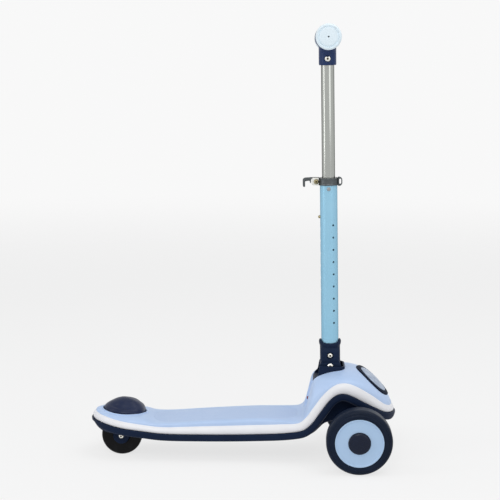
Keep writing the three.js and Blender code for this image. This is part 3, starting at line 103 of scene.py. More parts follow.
def turned(name, points, sides=64, place=Matrix(), steps=4):
    # points are (radius, distance along Y); they start and end on the axis, or close on themselves
    closed = points[0][0] > 0
    bm = bmesh.new()
    rows = []
    for radius, along in rounded(points, steps, closed):
        spokes = around(sides) if radius > 1e-6 else [0]
        rows.append([bm.verts.new((radius * math.cos(t), along, radius * math.sin(t))) for t in spokes])
    following = rows[1:] + ([rows[0]] if closed else [])
    for low, high in zip(rows, following):
        for k in range(sides):
            n = (k + 1) % sides
            corners = (low[k % len(low)], low[n % len(low)], high[n % len(high)], high[k % len(high)])
            face = list(dict.fromkeys(corners))
            if len(face) > 2:
                bm.faces.new(face)
    return objectFrom(name, bm, place)


def lofted(name, sections, loop=False, place=Matrix()):
    bm = bmesh.new()
    rows = [[bm.verts.new(point) for point in section] for section in sections]
    following = rows[1:] + ([rows[0]] if loop else [])
    count = len(rows[0])
    for low, high in zip(rows, following):
        for k in range(count):
            n = (k + 1) % count
            bm.faces.new((low[k], low[n], high[n], high[k]))
    if not loop:
        bm.faces.new(rows[0])
        bm.faces.new(rows[-1][::-1])
    return objectFrom(name, bm, place)


def plate(name, points, y0, y1, edge, place=Matrix(), steps=5):
    # an outline in X and Z with a thickness along Y and softened edges
    outline = rounded(points, steps, True)
    made = lofted(name, [[(x, y, z) for x, z in outline] for y in (y0, y1)], place=place)
    return softened(made, edge)


def applied(made):
    graph = bpy.context.evaluated_depsgraph_get()
    mesh = bpy.data.meshes.new_from_object(made.evaluated_get(graph))
    made.modifiers.clear()
    made.data = mesh
    return made


def softened(made, width, angle=40, segments=3):
    step = made.modifiers.new("edge", "BEVEL")
    step.width = width * mm
    step.segments = segments
    step.limit_method = "ANGLE"
    step.angle_limit = math.radians(angle)
    return applied(made)


def combined(made, tools, operation="DIFFERENCE"):
    for tool in tools:
        step = made.modifiers.new("combine", "BOOLEAN")
        step.operation = operation
        step.solver = "EXACT"
        step.object = tool
        applied(made)
        bpy.data.objects.remove(tool)
    return made


def gathered(name, parts):
    # several closed shells as one object
    bm = bmesh.new()
    for part in parts:
        bm.from_mesh(part.data)
        bpy.data.objects.remove(part)
    return meshObject(name, bm)


def dressed(made, body, look, *more, nodes=(), sharp=34):
    # gives a piece its finish and its body; unless nodes are named, it takes over the CAD
    # node of its own name, where topShell stands for top_shell
    made.data.materials.clear()
    for name in (look, *more):
        made.data.materials.append(looks[name])
    made.data.shade_smooth()
    made.data.set_sharp_from_angle(angle=math.radians(sharp))
    ownNode = "".join("_" + c.lower() if c.isupper() else c for c in made.name)
    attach(made, body)
    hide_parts(*(nodes or [ownNode]))
    return made


def repainted(made, chosen, place=Matrix()):
    # puts the second material on the faces that are chosen by their centre, seen from the place
    toPlace = place.inverted()
    for face in made.data.polygons:
        if chosen(toPlace @ (face.center / mm), face.normal):
            face.material_index = 1
    return made


def at(x, y, z):
    return Matrix.Translation((x, y, z))


def about(axis, degrees):
    return Matrix.Rotation(math.radians(degrees), 4, axis)


upright = about("X", 90)  # a turned piece lies along Y; this stands it up along Z


def rod(name, radius, y0, y1, sides=48, edge=0, place=Matrix()):
    return turned(name, [(0, y0), (radius, y0, edge), (radius, y1, edge), (0, y1)], sides, place)


def lathed(name, points, sides, place, body, look, steps=4):
    return dressed(turned(name, points, sides, place, steps), body, look)


def bothSides(half):
    # a turned profile given for y > 0 only, from one end of it to the other, and its mirror image
    return [(radius, -y, *edge) for radius, y, *edge in half] + half[::-1]


def roundRect(x0, x1, y0, y1, corner, steps=9):
    points = []
    corners = [(x1 - corner, y0 + corner, -90), (x1 - corner, y1 - corner, 0),
               (x0 + corner, y1 - corner, 90), (x0 + corner, y0 + corner, 180)]
    for x, y, start in corners:
        for k in range(steps + 1):
            turn = math.radians(start + 90 * k / steps)
            points.append((x + corner * math.cos(turn), y + corner * math.sin(turn)))
    return points


def roundBlock(name, x0, x1, y0, y1, corner, z0, z1, place=Matrix()):
    outline = roundRect(x0, x1, y0, y1, corner)
    return lofted(name, [[(x, y, z) for x, y in outline] for z in (z0, z1)], place=place)


# Node tools, for shader and geometry trees alike

def feed(tree, node, values):
    # a value is plain, or a socket to link from, or a node whose first output is linked
    for key, value in values.items():
        if isinstance(value, bpy.types.Node):
            value = value.outputs[0]
        if isinstance(value, bpy.types.NodeSocket):
            tree.links.new(value, node.inputs[key])
        else:
            node.inputs[key].default_value = value
    return node


def addNode(tree, kind, values=None, **settings):
    made = tree.nodes.new(kind)
    for key, value in settings.items():
        setattr(made, key, value)
    return feed(tree, made, values or {})


socketTypes = {float: "NodeSocketFloat", int: "NodeSocketInt", tuple: "NodeSocketVector"}


def newTree(name, kind, inputs, outputs, outputType):
    # an input has its label and default; the one without a default takes a material
    tree = bpy.data.node_groups.new(name, kind)
    for label, value in inputs.items():
        socketType = socketTypes.get(type(value), "NodeSocketMaterial")
        socket = tree.interface.new_socket(label, in_out="INPUT", socket_type=socketType)
        if value is not None:
            socket.default_value = value
    for label in outputs:
        tree.interface.new_socket(label, in_out="OUTPUT", socket_type=outputType)
    return tree, tree.nodes.new("NodeGroupInput").outputs


def shaderTree(name, inputs, outputs=("Height", "Shade", "Gloss")):
    return newTree(name, "ShaderNodeTree", inputs, outputs, "NodeSocketFloat")


def geometryTree(name, sizes):
    inputs = {**sizes, "Material": None}
    return newTree(name, "GeometryNodeTree", inputs, ["Geometry"], "NodeSocketGeometry")


def maths(tree, operation, a, b):
    return addNode(tree, "ShaderNodeMath", {0: a, 1: b}, operation=operation)


def vectorOf(tree, **axes):
    return addNode(tree, "ShaderNodeCombineXYZ", axes)


def objectSpot(tree):
    return addNode(tree, "ShaderNodeTexCoord").outputs["Object"]


def noise(tree, spot, scale, detail, **more):
    return addNode(tree, "ShaderNodeTexNoise", {"Vector": spot, "Scale": scale, "Detail": detail, **more})


def ranged(tree, value, low, high, newLow=0.0, newHigh=1.0, **settings):
    values = {"Value": value, "From Min": low, "From Max": high, "To Min": newLow, "To Max": newHigh}
    return addNode(tree, "ShaderNodeMapRange", values, **settings)


def cutBy(tree, mesh, tools):
    for tool in tools:
        values = {"Mesh 1": mesh, "Mesh 2": tool}
        mesh = addNode(tree, "GeometryNodeMeshBoolean", values, operation="DIFFERENCE")
    return mesh


def repeated(tree, points, instance, **more):
    values = {"Points": points, "Instance": instance, **more}
    placed = addNode(tree, "GeometryNodeInstanceOnPoints", values)
    return addNode(tree, "GeometryNodeRealizeInstances", {0: placed})


def delivered(tree, geometry, given):
    painted = addNode(tree, "GeometryNodeSetMaterial", {"Geometry": geometry, "Material": given["Material"]})
    addNode(tree, "NodeGroupOutput", {"Geometry": painted})
    return tree


def grown(name, tree, sizes, look, place):
    # runs a geometry tree and keeps its result as a plain mesh; the place is in millimetres
    values = {**sizes, "Material": looks[look]}
    made = linked(name, bpy.data.meshes.new(name))
    step = made.modifiers.new("grow", "NODES")
    step.node_group = tree
    for item in tree.interface.items_tree:
        if item.in_out == "INPUT" and item.name in values:
            step[item.identifier] = values[item.name]
    applied(made)
    made.data.transform(Matrix.Translation(place.translation * mm) @ place.to_3x3().to_4x4())
    return made


# Finishes

def linear(hexColour):
    parts = [int(hexColour[k:k + 2], 16) / 255 for k in (1, 3, 5)]
    return tuple(p / 12.92 if p <= 0.04045 else ((p + 0.055) / 1.055) ** 2.4 for p in parts) + (1,)


def mouldGrainGroup():
    # fine spark-eroded grain of moulded plastic, with slow changes of shade and gloss
    tree, given = shaderTree("mouldGrain", {"Grain Scale": 900.0, "Cloud Scale": 14.0})
    spot = objectSpot(tree)
    shade = ranged(tree, noise(tree, spot, given["Cloud Scale"], 4.0), 0.3, 0.7)
    grain = noise(tree, spot, given["Grain Scale"], 3.0)
    smear = noise(tree, spot, 42.0, 5.0, Distortion=0.6)
    addNode(tree, "NodeGroupOutput", {"Height": grain, "Shade": shade, "Gloss": smear})
    return tree


def drawnLinesGroup():
    # drawn lines along one direction of a metal part; Stretch squeezes the pattern on each axis
    tree, given = shaderTree("drawnLines", {"Stretch": (900.0, 900.0, 12.0)})
    spot = objectSpot(tree)
    squeezed = addNode(tree, "ShaderNodeMapping", {"Vector": spot, "Scale": given["Stretch"]})
    lines = noise(tree, squeezed, 1.0, 4.0)
    addNode(tree, "NodeGroupOutput", {"Height": lines, "Shade": lines, "Gloss": noise(tree, spot, 60.0, 6.0)})
    return tree


def settledDustGroup():
    # pale dust that gathers in patches on rubber
    tree, given = shaderTree("settledDust", {"Amount": 0.3}, ["Mask"])
    patches = noise(tree, objectSpot(tree), 55.0, 8.0, Roughness=0.65)
    mask = ranged(tree, patches, 0.5, 0.75, 0.0, given["Amount"])
    addNode(tree, "NodeGroupOutput", {"Mask": mask})
    return tree


groups = {"grain": mouldGrainGroup(), "lines": drawnLinesGroup(), "dust": settledDustGroup()}


def mixColour(tree, factor, first, second):
    return addNode(tree, "ShaderNodeMix", {0: factor, 6: first, 7: second}, data_type="RGBA").outputs[2]


def bump(tree, height, depth):
    return addNode(tree, "ShaderNodeBump", {"Height": height, "Strength": 1.0, "Distance": depth * mm})


groupSockets = {"grainScale": "Grain Scale", "cloudScale": "Cloud Scale", "stretch": "Stretch"}
shaderSockets = {"metal": "Metallic", "specular": "Specular IOR Level", "tint": "Specular Tint"}


def finish(name, settings):
    # one Principled finish: two shades mixed by a group, with its gloss and fine relief
    material = bpy.data.materials.new(name)
    material.use_nodes = True
    tree = material.node_tree
    shader = tree.nodes["Principled BSDF"]
    group = addNode(tree, "ShaderNodeGroup", node_tree=groups[settings.get("group", "grain")])
    first, second = (linear(shade) for shade in settings["shades"])
    colour = mixColour(tree, group.outputs["Shade"], first, second)
    if "dust" in settings:
        amount, shade = settings["dust"]
        dust = addNode(tree, "ShaderNodeGroup", {"Amount": amount}, node_tree=groups["dust"])
        colour = mixColour(tree, dust, colour, linear(shade))
    rough = ranged(tree, group.outputs["Gloss"], 0.3, 0.7, *settings["rough"])
    relief = bump(tree, group.outputs["Height"], settings["relief"])
    feed(tree, shader, {"Base Color": colour, "Roughness": rough, "Normal": relief})
    for node, sockets in ((group, groupSockets), (shader, shaderSockets)):
        feed(tree, node, {socket: settings[key] for key, socket in sockets.items() if key in settings})
    return material


def finishOf(slot, shades, rough, relief, **more):
    # a finish without a slot is only ever the second material of a piece
    return {"slot": slot, "shades": shades.split(), "rough": rough, "relief": relief, **more}


# a dark specular tint below darkens the grazing reflections of a finish: painted shade along the edges of the
# enamel and metal parts
finishes = {
    "shellPlastic": finishOf("pale_blue_plastic", "#b3cbee #bcd2f3", (0.36, 0.46), 0.012, specular=0.4),
    "bandPlastic": finishOf("white_plastic", "#e6e7ec #eeeff2", (0.34, 0.44), 0.01),
    "navyPlastic": finishOf("navy_plastic", "#121e35 #17253e", (0.4, 0.52), 0.014, specular=0.08),
    "bracketPlastic": finishOf("navy_plastic", "#24345a #2a3c64", (0.24, 0.34), 0.004, specular=0.14),
    "pedalPlastic": finishOf("navy_plastic", "#18223e #1c2847", (0.28, 0.38), 0.008, specular=0.2),
    "capPlastic": finishOf("navy_plastic", "#0d1528 #111a2f", (0.22, 0.32), 0.004, specular=0.2),
    "ringPlastic": finishOf("navy_plastic", "#0b1426 #0f1a2e", (0.5, 0.6), 0.004, specular=0.04),
    "discPlastic": finishOf("wheel_plastic", "#a5c1e0 #adc8e6", (0.42, 0.52), 0.014, specular=0.4),
    "skyEnamel": finishOf("sky_paint", "#92c4de #9bc9e1", (0.3, 0.38), 0.001, grainScale=350.0, metal=0.4,
        specular=0.1, tint=(0.05, 0.08, 0.1, 1)),
    "gripRubber": finishOf("grip_rubber", "#dcebf4 #e3f0f8", (0.5, 0.62), 0.0015, grainScale=700.0),
    "frontRubber": finishOf("front_tyre_rubber", "#0f1828 #141f32", (0.34, 0.46), 0.01,
        dust=(0.04, "#47536a"), specular=0.1),
    "rearRubber": finishOf("rear_tyre_rubber", "#08090a #0d0e10", (0.24, 0.4), 0.02,
        dust=(0.08, "#55575a"), specular=0.12),
    "bushRubber": finishOf("bush_rubber", "#1d2026 #24272e", (0.6, 0.75), 0.03, specular=0.3),
    "nylon": finishOf("nylon", "#dcdedc #e9ebe8", (0.34, 0.44), 0.006),
    "redPlastic": finishOf("red_plastic", "#7c1226 #8a1a2e", (0.3, 0.4), 0.006, specular=0.3),
    "emblemFilm": finishOf("emblem_plastic", "#8496b2 #b0c0d6", (0.3, 0.4), 0.02, grainScale=420.0,
        cloudScale=90.0, metal=0.15),
    "brightSteel": finishOf("bright_steel", "#e0dfd7 #f0efe8", (0.16, 0.26), 0.003, group="lines",
        stretch=(260.0, 900.0, 260.0), metal=1.0, tint=(0.3, 0.3, 0.28, 1)),
    # pale copy of the clamp collar's steel for its ears: painted highlight
    "zincPlate": finishOf(None, "#dadad4 #e8e8e2", (0.3, 0.4), 0.003, group="lines", metal=0.3),
    # dark finish for the faces inside bolt recesses: painted shade in the hex socket
    "boltHollow": finishOf(None, "#4c432c #6b6043", (0.4, 0.5), 0.004, group="lines", metal=0.6),
    "tubeSteel": finishOf("chromed_steel", "#a2a5a1 #b3b5b1", (0.16, 0.2), 0.0002, group="lines",
        stretch=(500.0, 500.0, 6.0), metal=1.0, tint=(0.02, 0.02, 0.02, 1)),
    "darkSteel": finishOf("dark_steel", "#4a4e50 #636769", (0.3, 0.44), 0.004, group="lines",
        stretch=(180.0, 180.0, 420.0), metal=1.0, tint=(0.2, 0.2, 0.2, 1)),
    "rivetSteel": finishOf("bright_steel", "#8d9195 #a3a7aa", (0.3, 0.4), 0.004, group="lines", metal=0.8),
    "brass": finishOf("brass", "#8f8566 #a59a78", (0.26, 0.38), 0.004, group="lines",
        stretch=(300.0, 300.0, 300.0), metal=1.0, tint=(0.4, 0.36, 0.28, 1)),
}
looks = {name: finish(name, settings) for name, settings in finishes.items()}


def deckGripMaterial():
    # anti-slip area of the deck: the shell's plastic with close-set pebbles
    settings = {"pebble": 620.0, "depth": 0.16, "shades": ("#b9cff0", "#a9c1e6")}
    material = finish("deckGrip", finishes["shellPlastic"])
    tree = material.node_tree
    values = {"Vector": objectSpot(tree), "Scale": settings["pebble"]}
    cells = addNode(tree, "ShaderNodeTexVoronoi", values, feature="SMOOTH_F1")
    high, low = (linear(shade) for shade in settings["shades"])
    feed(tree, tree.nodes["Principled BSDF"], {
        "Normal": bump(tree, cells, -settings["depth"]),
        "Base Color": mixColour(tree, cells.outputs["Distance"], high, low)})
    return material


looks["deckGrip"] = deckGripMaterial()
print("finishes made:", len(looks))


# Hull: three moulded layers on one set of wavy side lines

hull = {
    "wheelbase": 443, "tailOverhang": 58, "noseOverhang": 71, "humpLength": 115.2, "humpStart": 0.74,
    "deckHalfWidth": 62, "humpHalfWidth": 82, "tailRound": 81, "noseRound": 86, "wall": 3, "gap": 0.3,
    "seamHeight": 51, "archRise": 85, "rimHeight": 13, "keelHalfWidth": 50, "keelRise": 41,
    "panCorner": 6, "panTailRound": 28, "panNoseRound": 16, "bandHeight": 15.5, "bandSwell": 5,
    "bandInset": 2.5, "bandBulge": 1.6, "bandLean": 3.4, "shellTuck": 0.5, "deckHeight": 71,
    "humpRise": 105, "shellInset": 7.5,
}
seamShares = [
    (-1, 0.235), (-0.59, 0.194), (0, 0.125), (0.093, 0.062), (0.176, 0.012), (0.289, 0), (0.515, 0.012),
    (0.65, 0.047), (0.74, 0.112), (0.777, 0.176), (0.81, 0.335), (0.842, 0.576), (0.876, 0.824),
    (0.907, 0.965), (0.939, 1), (0.973, 0.947), (1.14, 0.806), (1.465, 0.647), (1.7, 0.524), (2, 0.435),
]
bandSwellShares = [
    (-1, -0.4), (-0.4, -0.4), (0.1, -0.7), (0.18, -0.65), (0.26, -0.3), (0.36, 0.05), (0.5, 0.35),
    (0.68, 0.35), (0.74, 0), (0.86, 0), (0.92, 0.75), (0.98, 0.9), (1.14, 0.75), (1.35, 0.35),
    (1.45, 0), (1.66, -0.8), (2, -1),
]
crownShares = [
    (-1, 0.14), (-0.62, 0.157), (0, 0.138), (0.095, 0.086), (0.126, 0.036), (0.158, 0.01), (0.21, 0.008),
    (0.332, 0.046), (0.454, 0.08), (0.576, 0.107), (0.65, 0.101), (0.729, 0.086), (0.756, 0.094),
    (0.772, 0.13), (0.783, 0.262), (0.795, 0.472), (0.81, 0.735), (0.828, 0.835), (0.853, 0.888),
    (0.889, 0.928), (0.944, 0.946), (0.98, 0.934), (1.085, 0.902), (1.296, 0.822), (1.493, 0.719),
    (1.66, 0.587), (1.8, 0.445), (1.9, 0.31), (2, 0.22),
]
keelShares = [
    (-1, 0.4), (-0.7, 0.3), (-0.3, 0.2), (0.6, 0.15), (0.74, 0.19), (0.79, 0.3), (0.807, 0.355),
    (0.824, 0.485), (0.84, 0.65), (0.857, 0.82), (0.873, 0.9), (0.9, 0.97), (1, 1.05), (2, 1.06),
]
squarenessShares = [
    (-1, 2.2), (0, 2.2), (0.12, 3), (0.2, 5), (0.7, 5), (0.78, 3.2), (0.84, 2.2), (0.95, 2), (2, 2.1),
]
noseTip = (hull["tailOverhang"] + hull["wheelbase"] + hull["noseOverhang"]) / 2
tailTip = -noseTip
rearAxleX = tailTip + hull["tailOverhang"]
frontAxleX = rearAxleX + hull["wheelbase"]


def stationX(station):
    if station < 0:
        return rearAxleX + station * hull["tailOverhang"]
    if station > 1:
        return frontAxleX + (station - 1) * hull["noseOverhang"]
    if station > hull["humpStart"]:
        return frontAxleX - hull["humpLength"] * (1 - station) / (1 - hull["humpStart"])
    return rearAxleX + (hull["wheelbase"] - hull["humpLength"]) * station / hull["humpStart"]


def smoothLine(points):
    slopes = []
    for i in range(len(points)):
        before = points[max(i - 1, 0)]
        after = points[min(i + 1, len(points) - 1)]
        slopes.append((after[1] - before[1]) / (after[0] - before[0]))

    def line(x):
        i = 0
        while i < len(points) - 2 and x > points[i + 1][0]:
            i += 1
        (x0, v0), (x1, v1) = points[i], points[i + 1]
        span = x1 - x0
        t = min(max((x - x0) / span, 0), 1)
        bend = t * (1 - t) * (1 - t) * span * slopes[i] + t * t * (t - 1) * span * slopes[i + 1]
        return v0 + (v1 - v0) * t * t * (3 - 2 * t) + bend

    return line


def sideLine(shares, base, rise):
    return smoothLine([(stationX(station), base + rise * share) for station, share in shares])


def beside(line, distance):
    # the line a steady distance above or below another one, measured square to it
    reach, way = abs(distance), math.copysign(1, distance)
    samples, spokes = 240, 16
    points = []
    for i in range(samples + 1):
        x = tailTip + (noseTip - tailTip) * i / samples
        heights = [line(x) + distance]
        for k in range(-spokes, spokes + 1):
            along = reach * k / spokes
            heights.append(line(x + along) + way * math.sqrt(reach * reach - along * along))
        points.append((x, max(heights) if way > 0 else min(heights)))
    eased = [points[0]]
    for before, here, after in zip(points, points[1:], points[2:]):
        eased.append((here[0], (before[1] + here[1] * 2 + after[1]) / 4))
    return smoothLine(eased + [points[-1]])


seam = sideLine(seamShares, hull["seamHeight"], hull["archRise"])
bandBase = beside(seam, hull["bandHeight"])
bandExtra = sideLine(bandSwellShares, 0, hull["bandSwell"])
rim = beside(seam, -hull["rimHeight"])
crown = sideLine(crownShares, hull["deckHeight"], hull["humpRise"])
keel = sideLine(keelShares, hull["seamHeight"] - hull["rimHeight"], hull["keelRise"])
squareness = sideLine(squarenessShares, 0, 1)


def bandTop(x):
    return bandBase(x) + bandExtra(x)


def shellEdge(x):
    return bandTop(x) - hull["shellTuck"]


def easeStep(x, low, high):
    t = min(max((x - low) / (high - low), 0), 1)
    return t * t * (3 - 2 * t)


def halfWidth(x, inset):
    spreadOut = easeStep(x, stationX(0.55), stationX(0.92))
    width = hull["deckHalfWidth"] + (hull["humpHalfWidth"] - hull["deckHalfWidth"]) * spreadOut - inset
    tailPart = max(tailTip + hull["tailRound"] - x, 0) / (hull["tailRound"] - inset)
    nosePart = max(x - noseTip + hull["noseRound"], 0) / (hull["noseRound"] - inset)
    end = min(max(tailPart, nosePart), 1)
    return width * math.sqrt(1 - end * end)


def tipRise(x, inset, reach):
    # rise of an edge that rounds off towards the nearer tip of the hull
    away = min(max(reach - (min(x - tailTip, noseTip - x) - inset), 0), reach)
    return reach - math.sqrt(reach * reach - away * away)


def hullStations(inset, step, bends=22):
    tip = inset + hull["gap"]
    tailEnd, noseStart = tailTip + hull["tailRound"], noseTip - hull["noseRound"]
    turns = [math.pi / 2 * k / bends for k in range(bends)]
    tail = [tailEnd - (tailEnd - tailTip - tip) * math.cos(t) for t in turns]
    count = round((noseStart - tailEnd) / step)
    middle = [tailEnd + (noseStart - tailEnd) * k / count for k in range(count + 1)]
    nose = [noseStart + (noseTip - tip - noseStart) * math.cos(t) for t in reversed(turns)]
    return tail + middle + nose


deckPanel = {"rear": -170, "front": 106, "halfWidth": 46, "corner": 38, "depth": 0.7, "slope": 2.4}
slopeChannel = {
    "halfWidth": 26, "shoulder": 30.5, "depth": 4.6, "foot": 78, "start": 96, "end": 150, "top": 168,
    "ridge": 1.1, "ridgeAt": 33, "ridgeReach": 2.6,
}


def insidePanel(x, y):
    # distance inside the rounded edge of the deck panel
    middle = (deckPanel["rear"] + deckPanel["front"]) / 2
    corner = deckPanel["corner"]
    acrossX = abs(x - middle) - (deckPanel["front"] - middle) + corner
    acrossY = abs(y) - deckPanel["halfWidth"] + corner
    outside = math.hypot(max(acrossX, 0), max(acrossY, 0)) + min(max(acrossX, acrossY), 0)
    return corner - outside


def shellRelief(x, y, z):
    # sinks the deck panel a little and hollows the slope behind the stem foot
    lower = deckPanel["depth"] * easeStep(insidePanel(x, y), 0, deckPanel["slope"])
    across = 1 - easeStep(abs(y), slopeChannel["halfWidth"], slopeChannel["shoulder"])
    along = easeStep(z, slopeChannel["foot"], slopeChannel["start"])
    along *= 1 - easeStep(z, slopeChannel["end"], slopeChannel["top"])
    fromRidge = (abs(y) - slopeChannel["ridgeAt"]) / slopeChannel["ridgeReach"]
    ridge = slopeChannel["ridge"] * math.exp(-fromRidge ** 2)
    forward = (slopeChannel["depth"] * across - ridge) * along if x < stationX(0.87) else 0
    return x + forward, y, z - lower


def domeSection(x, width, low, rise, count):
    # half of a rounded rectangle whose corners tighten with the hull's squareness
    spokes = [superRound(math.pi * k / count, squareness(x)) for k in range(count + 1)]
    return [(x, width * a, low + rise * b) for a, b in spokes]


def shellHeight(x, y):
    width = halfWidth(x, hull["shellInset"])
    low, power = shellEdge(x), squareness(x)
    return low + (crown(x) - low) * max(1 - abs(y / width) ** power, 0) ** (1 / power)


def tubeAlong(name, points, radius, sides=8):
    # a round bead that follows a closed row of points
    sections = []
    for i, point in enumerate(points):
        ahead = (Vector(points[(i + 1) % len(points)]) - Vector(points[i - 1])).normalized()
        side = ahead.cross(Vector((0, 0, 1))).normalized()
        rise = side.cross(ahead)
        arms = [side * math.cos(t) + rise * math.sin(t) for t in around(sides)]
        sections.append([Vector(point) + arm * radius for arm in arms])
    return lofted(name, sections, loop=True)


pedal = {
    "x": -223.8, "rimHeight": 83.2, "halfLength": 39.2, "halfWidth": 36, "dome": 24, "tilt": 6.6,
    "gap": 1.9, "skirt": 3, "bead": 1.4, "rings": 40, "spokes": 96, "trough": 0.2, "troughAt": 0.74,
    "troughReach": 0.13,
}
pedalPlace = at(pedal["x"], 0, pedal["rimHeight"]) @ about("Y", pedal["tilt"])
foot = {
    "x": 163.6, "z": 175.5, "lean": 0.95, "bezelFront": 27, "bezelRear": 32.2, "bezelHalfWidth": 31.7,
    "bezelWall": 3.5, "bezelCorner": 16, "bezelTop": 175.9, "bezelFall": 0.049, "bezelDrop": (-23.4, -19),
    "bezelDepth": 12, "shelf": 152.6,
}
button = {"z": 109, "radius": 2.4, "proud": 1.2}
button["x"] = next(x for x in (110 + 0.1 * k for k in range(400)) if crown(x) > button["z"])
buttonPlace = at(button["x"], 0, button["z"]) @ about("Z", -90)


def footOutline(inset):
    # the bezel in plan, with its straight stretches divided so that they can follow the hump
    corners = roundRect(
        foot["x"] - foot["bezelRear"] + inset, foot["x"] + foot["bezelFront"] - inset,
        inset - foot["bezelHalfWidth"], foot["bezelHalfWidth"] - inset, foot["bezelCorner"] - inset, 18)
    points = []
    for here, ahead in zip(corners, corners[1:] + corners[:1]):
        parts = 12 if math.dist(here, ahead) > 6 else 1
        step = ((ahead[0] - here[0]) / parts, (ahead[1] - here[1]) / parts)
        points += [(here[0] + step[0] * k, here[1] + step[1] * k) for k in range(parts)]
    return points


def ellipse(a, b, count):
    return [(a * math.cos(t), b * math.sin(t)) for t in around(count)]


def pedalEdge(extra):
    points = []
    for u, v in ellipse(pedal["halfLength"] + extra, pedal["halfWidth"] + extra, 120):
        spot = pedalPlace @ Vector((u, v, 0))
        points.append((spot.x, spot.y, shellHeight(spot.x, spot.y)))
    return points


def topShell():
    settings = {"step": 1.8, "across": 124, "acrossInside": 24}
    sections = []
    for x in hullStations(hull["shellInset"], settings["step"]):
        width = max(halfWidth(x, hull["shellInset"]), 1.5)
        low = shellEdge(x)
        rise = max(crown(x) - low, 1)
        wall = min(hull["wall"], rise * 0.4, width * 0.4)
        outer = domeSection(x, width, low, rise, settings["across"])
        inner = domeSection(x, width - wall, low, rise - wall, settings["acrossInside"])
        sections.append([shellRelief(*point) for point in outer + inner[::-1]])
    shell = lofted("topShell", sections)
    gap, reach = hull["gap"], pedal["gap"]
    scale = Matrix.Diagonal((pedal["halfLength"] + reach, pedal["halfWidth"] + reach, 1, 1))
    hole = rod("pedalHole", 1, -30, 30, 96, place=pedalPlace @ scale @ upright)
    well = roundBlock(
        "bezelHole", foot["x"] - foot["bezelRear"] - gap, foot["x"] + foot["bezelFront"] + gap,
        -foot["bezelHalfWidth"] - gap, foot["bezelHalfWidth"] + gap, foot["bezelCorner"] + gap, 118, 190)
    bore = rod("buttonHole", button["radius"] + gap, -8, 12, 32, place=buttonPlace)
    combined(shell, [hole, well, bore])
    bead = tubeAlong("pedalBead", pedalEdge(reach + pedal["bead"] * 0.8), pedal["bead"])
    made = dressed(gathered("topShell", [shell, bead]), "deck", "shellPlastic", "deckGrip")

    def onPanel(spot, normal):
        return insidePanel(spot.x, spot.y) > deckPanel["slope"] and normal.z > 0.6 and spot.z > 66

    return repainted(made, onPanel)


def planOutline(inset, step):
    # points round the hull in plan, each with its outward direction
    xs = hullStations(inset, step)
    right = [(x, -max(halfWidth(x, inset), 1)) for x in xs]
    loop = right + [(x, -y) for x, y in reversed(right)]
    out = []
    for i, (x, y) in enumerate(loop):
        before, after = loop[i - 1], loop[(i + 1) % len(loop)]
        ahead = Vector((after[0] - before[0], after[1] - before[1])).normalized()
        out.append((x, y, ahead.y, -ahead.x))
    return out


def sideBand():
    swell = hull["bandBulge"]
    shares = [0, 0.012, 0.04, 0.09, 0.17, 0.28, 0.4, 0.5, 0.6, 0.72, 0.83, 0.91, 0.96, 0.988, 1]
    back = -swell - hull["bandLean"] - 2.5
    profile = [(back, 0)]
    for share in shares:
        out = swell * (4 / 3 * (1 - (2 * share - 1) ** 2) - 1) - hull["bandLean"] * share ** 2
        tuck = 0.8 * max(1 - share / 0.05, 0) ** 2 + 0.4 * max(1 - (1 - share) / 0.03, 0) ** 2
        profile.append((out - tuck, share))
    profile.append((back, 1))
    sections = []
    for x, y, outX, outY in planOutline(hull["bandInset"], 2.2):
        section = []
        for out, share in profile:
            here = x + outX * out
            low, high = seam(here) + hull["gap"] / 2, bandTop(here) - hull["gap"] / 2
            section.append((here, y + outY * out, low + (high - low) * share))
        sections.append(section)
    return dressed(lofted("sideBand", sections, loop=True), "deck", "bandPlastic")


wheels = {
    "frontOffset": 118, "frontRadius": 60, "frontHalf": 19, "coreRadius": 44, "rearRadius": 38,
    "rearHalf": 19, "rearCoreRadius": 25, "bayHalf": 21.3, "bayHalfLength": 43, "bayTop": 67,
    "lugRadius": 15, "lug": 4.5,
}
kingpin = {"setback": 12, "rise": 6, "angle": 45, "boss": 17, "trunnion": 15, "rubberTop": 16.3}
rearPlace = at(rearAxleX, 0, wheels["rearRadius"])
kingSpot = at(frontAxleX - kingpin["setback"], 0, wheels["frontRadius"] + kingpin["rise"])
kingUp = kingSpot @ about("Y", kingpin["angle"]) @ upright
screws = {"stations": (0.2, 0.7), "spread": 40, "head": 4, "recess": 1.5}
screwSpots = [(stationX(s), side * screws["spread"]) for s in screws["stations"] for side in (-1, 1)]


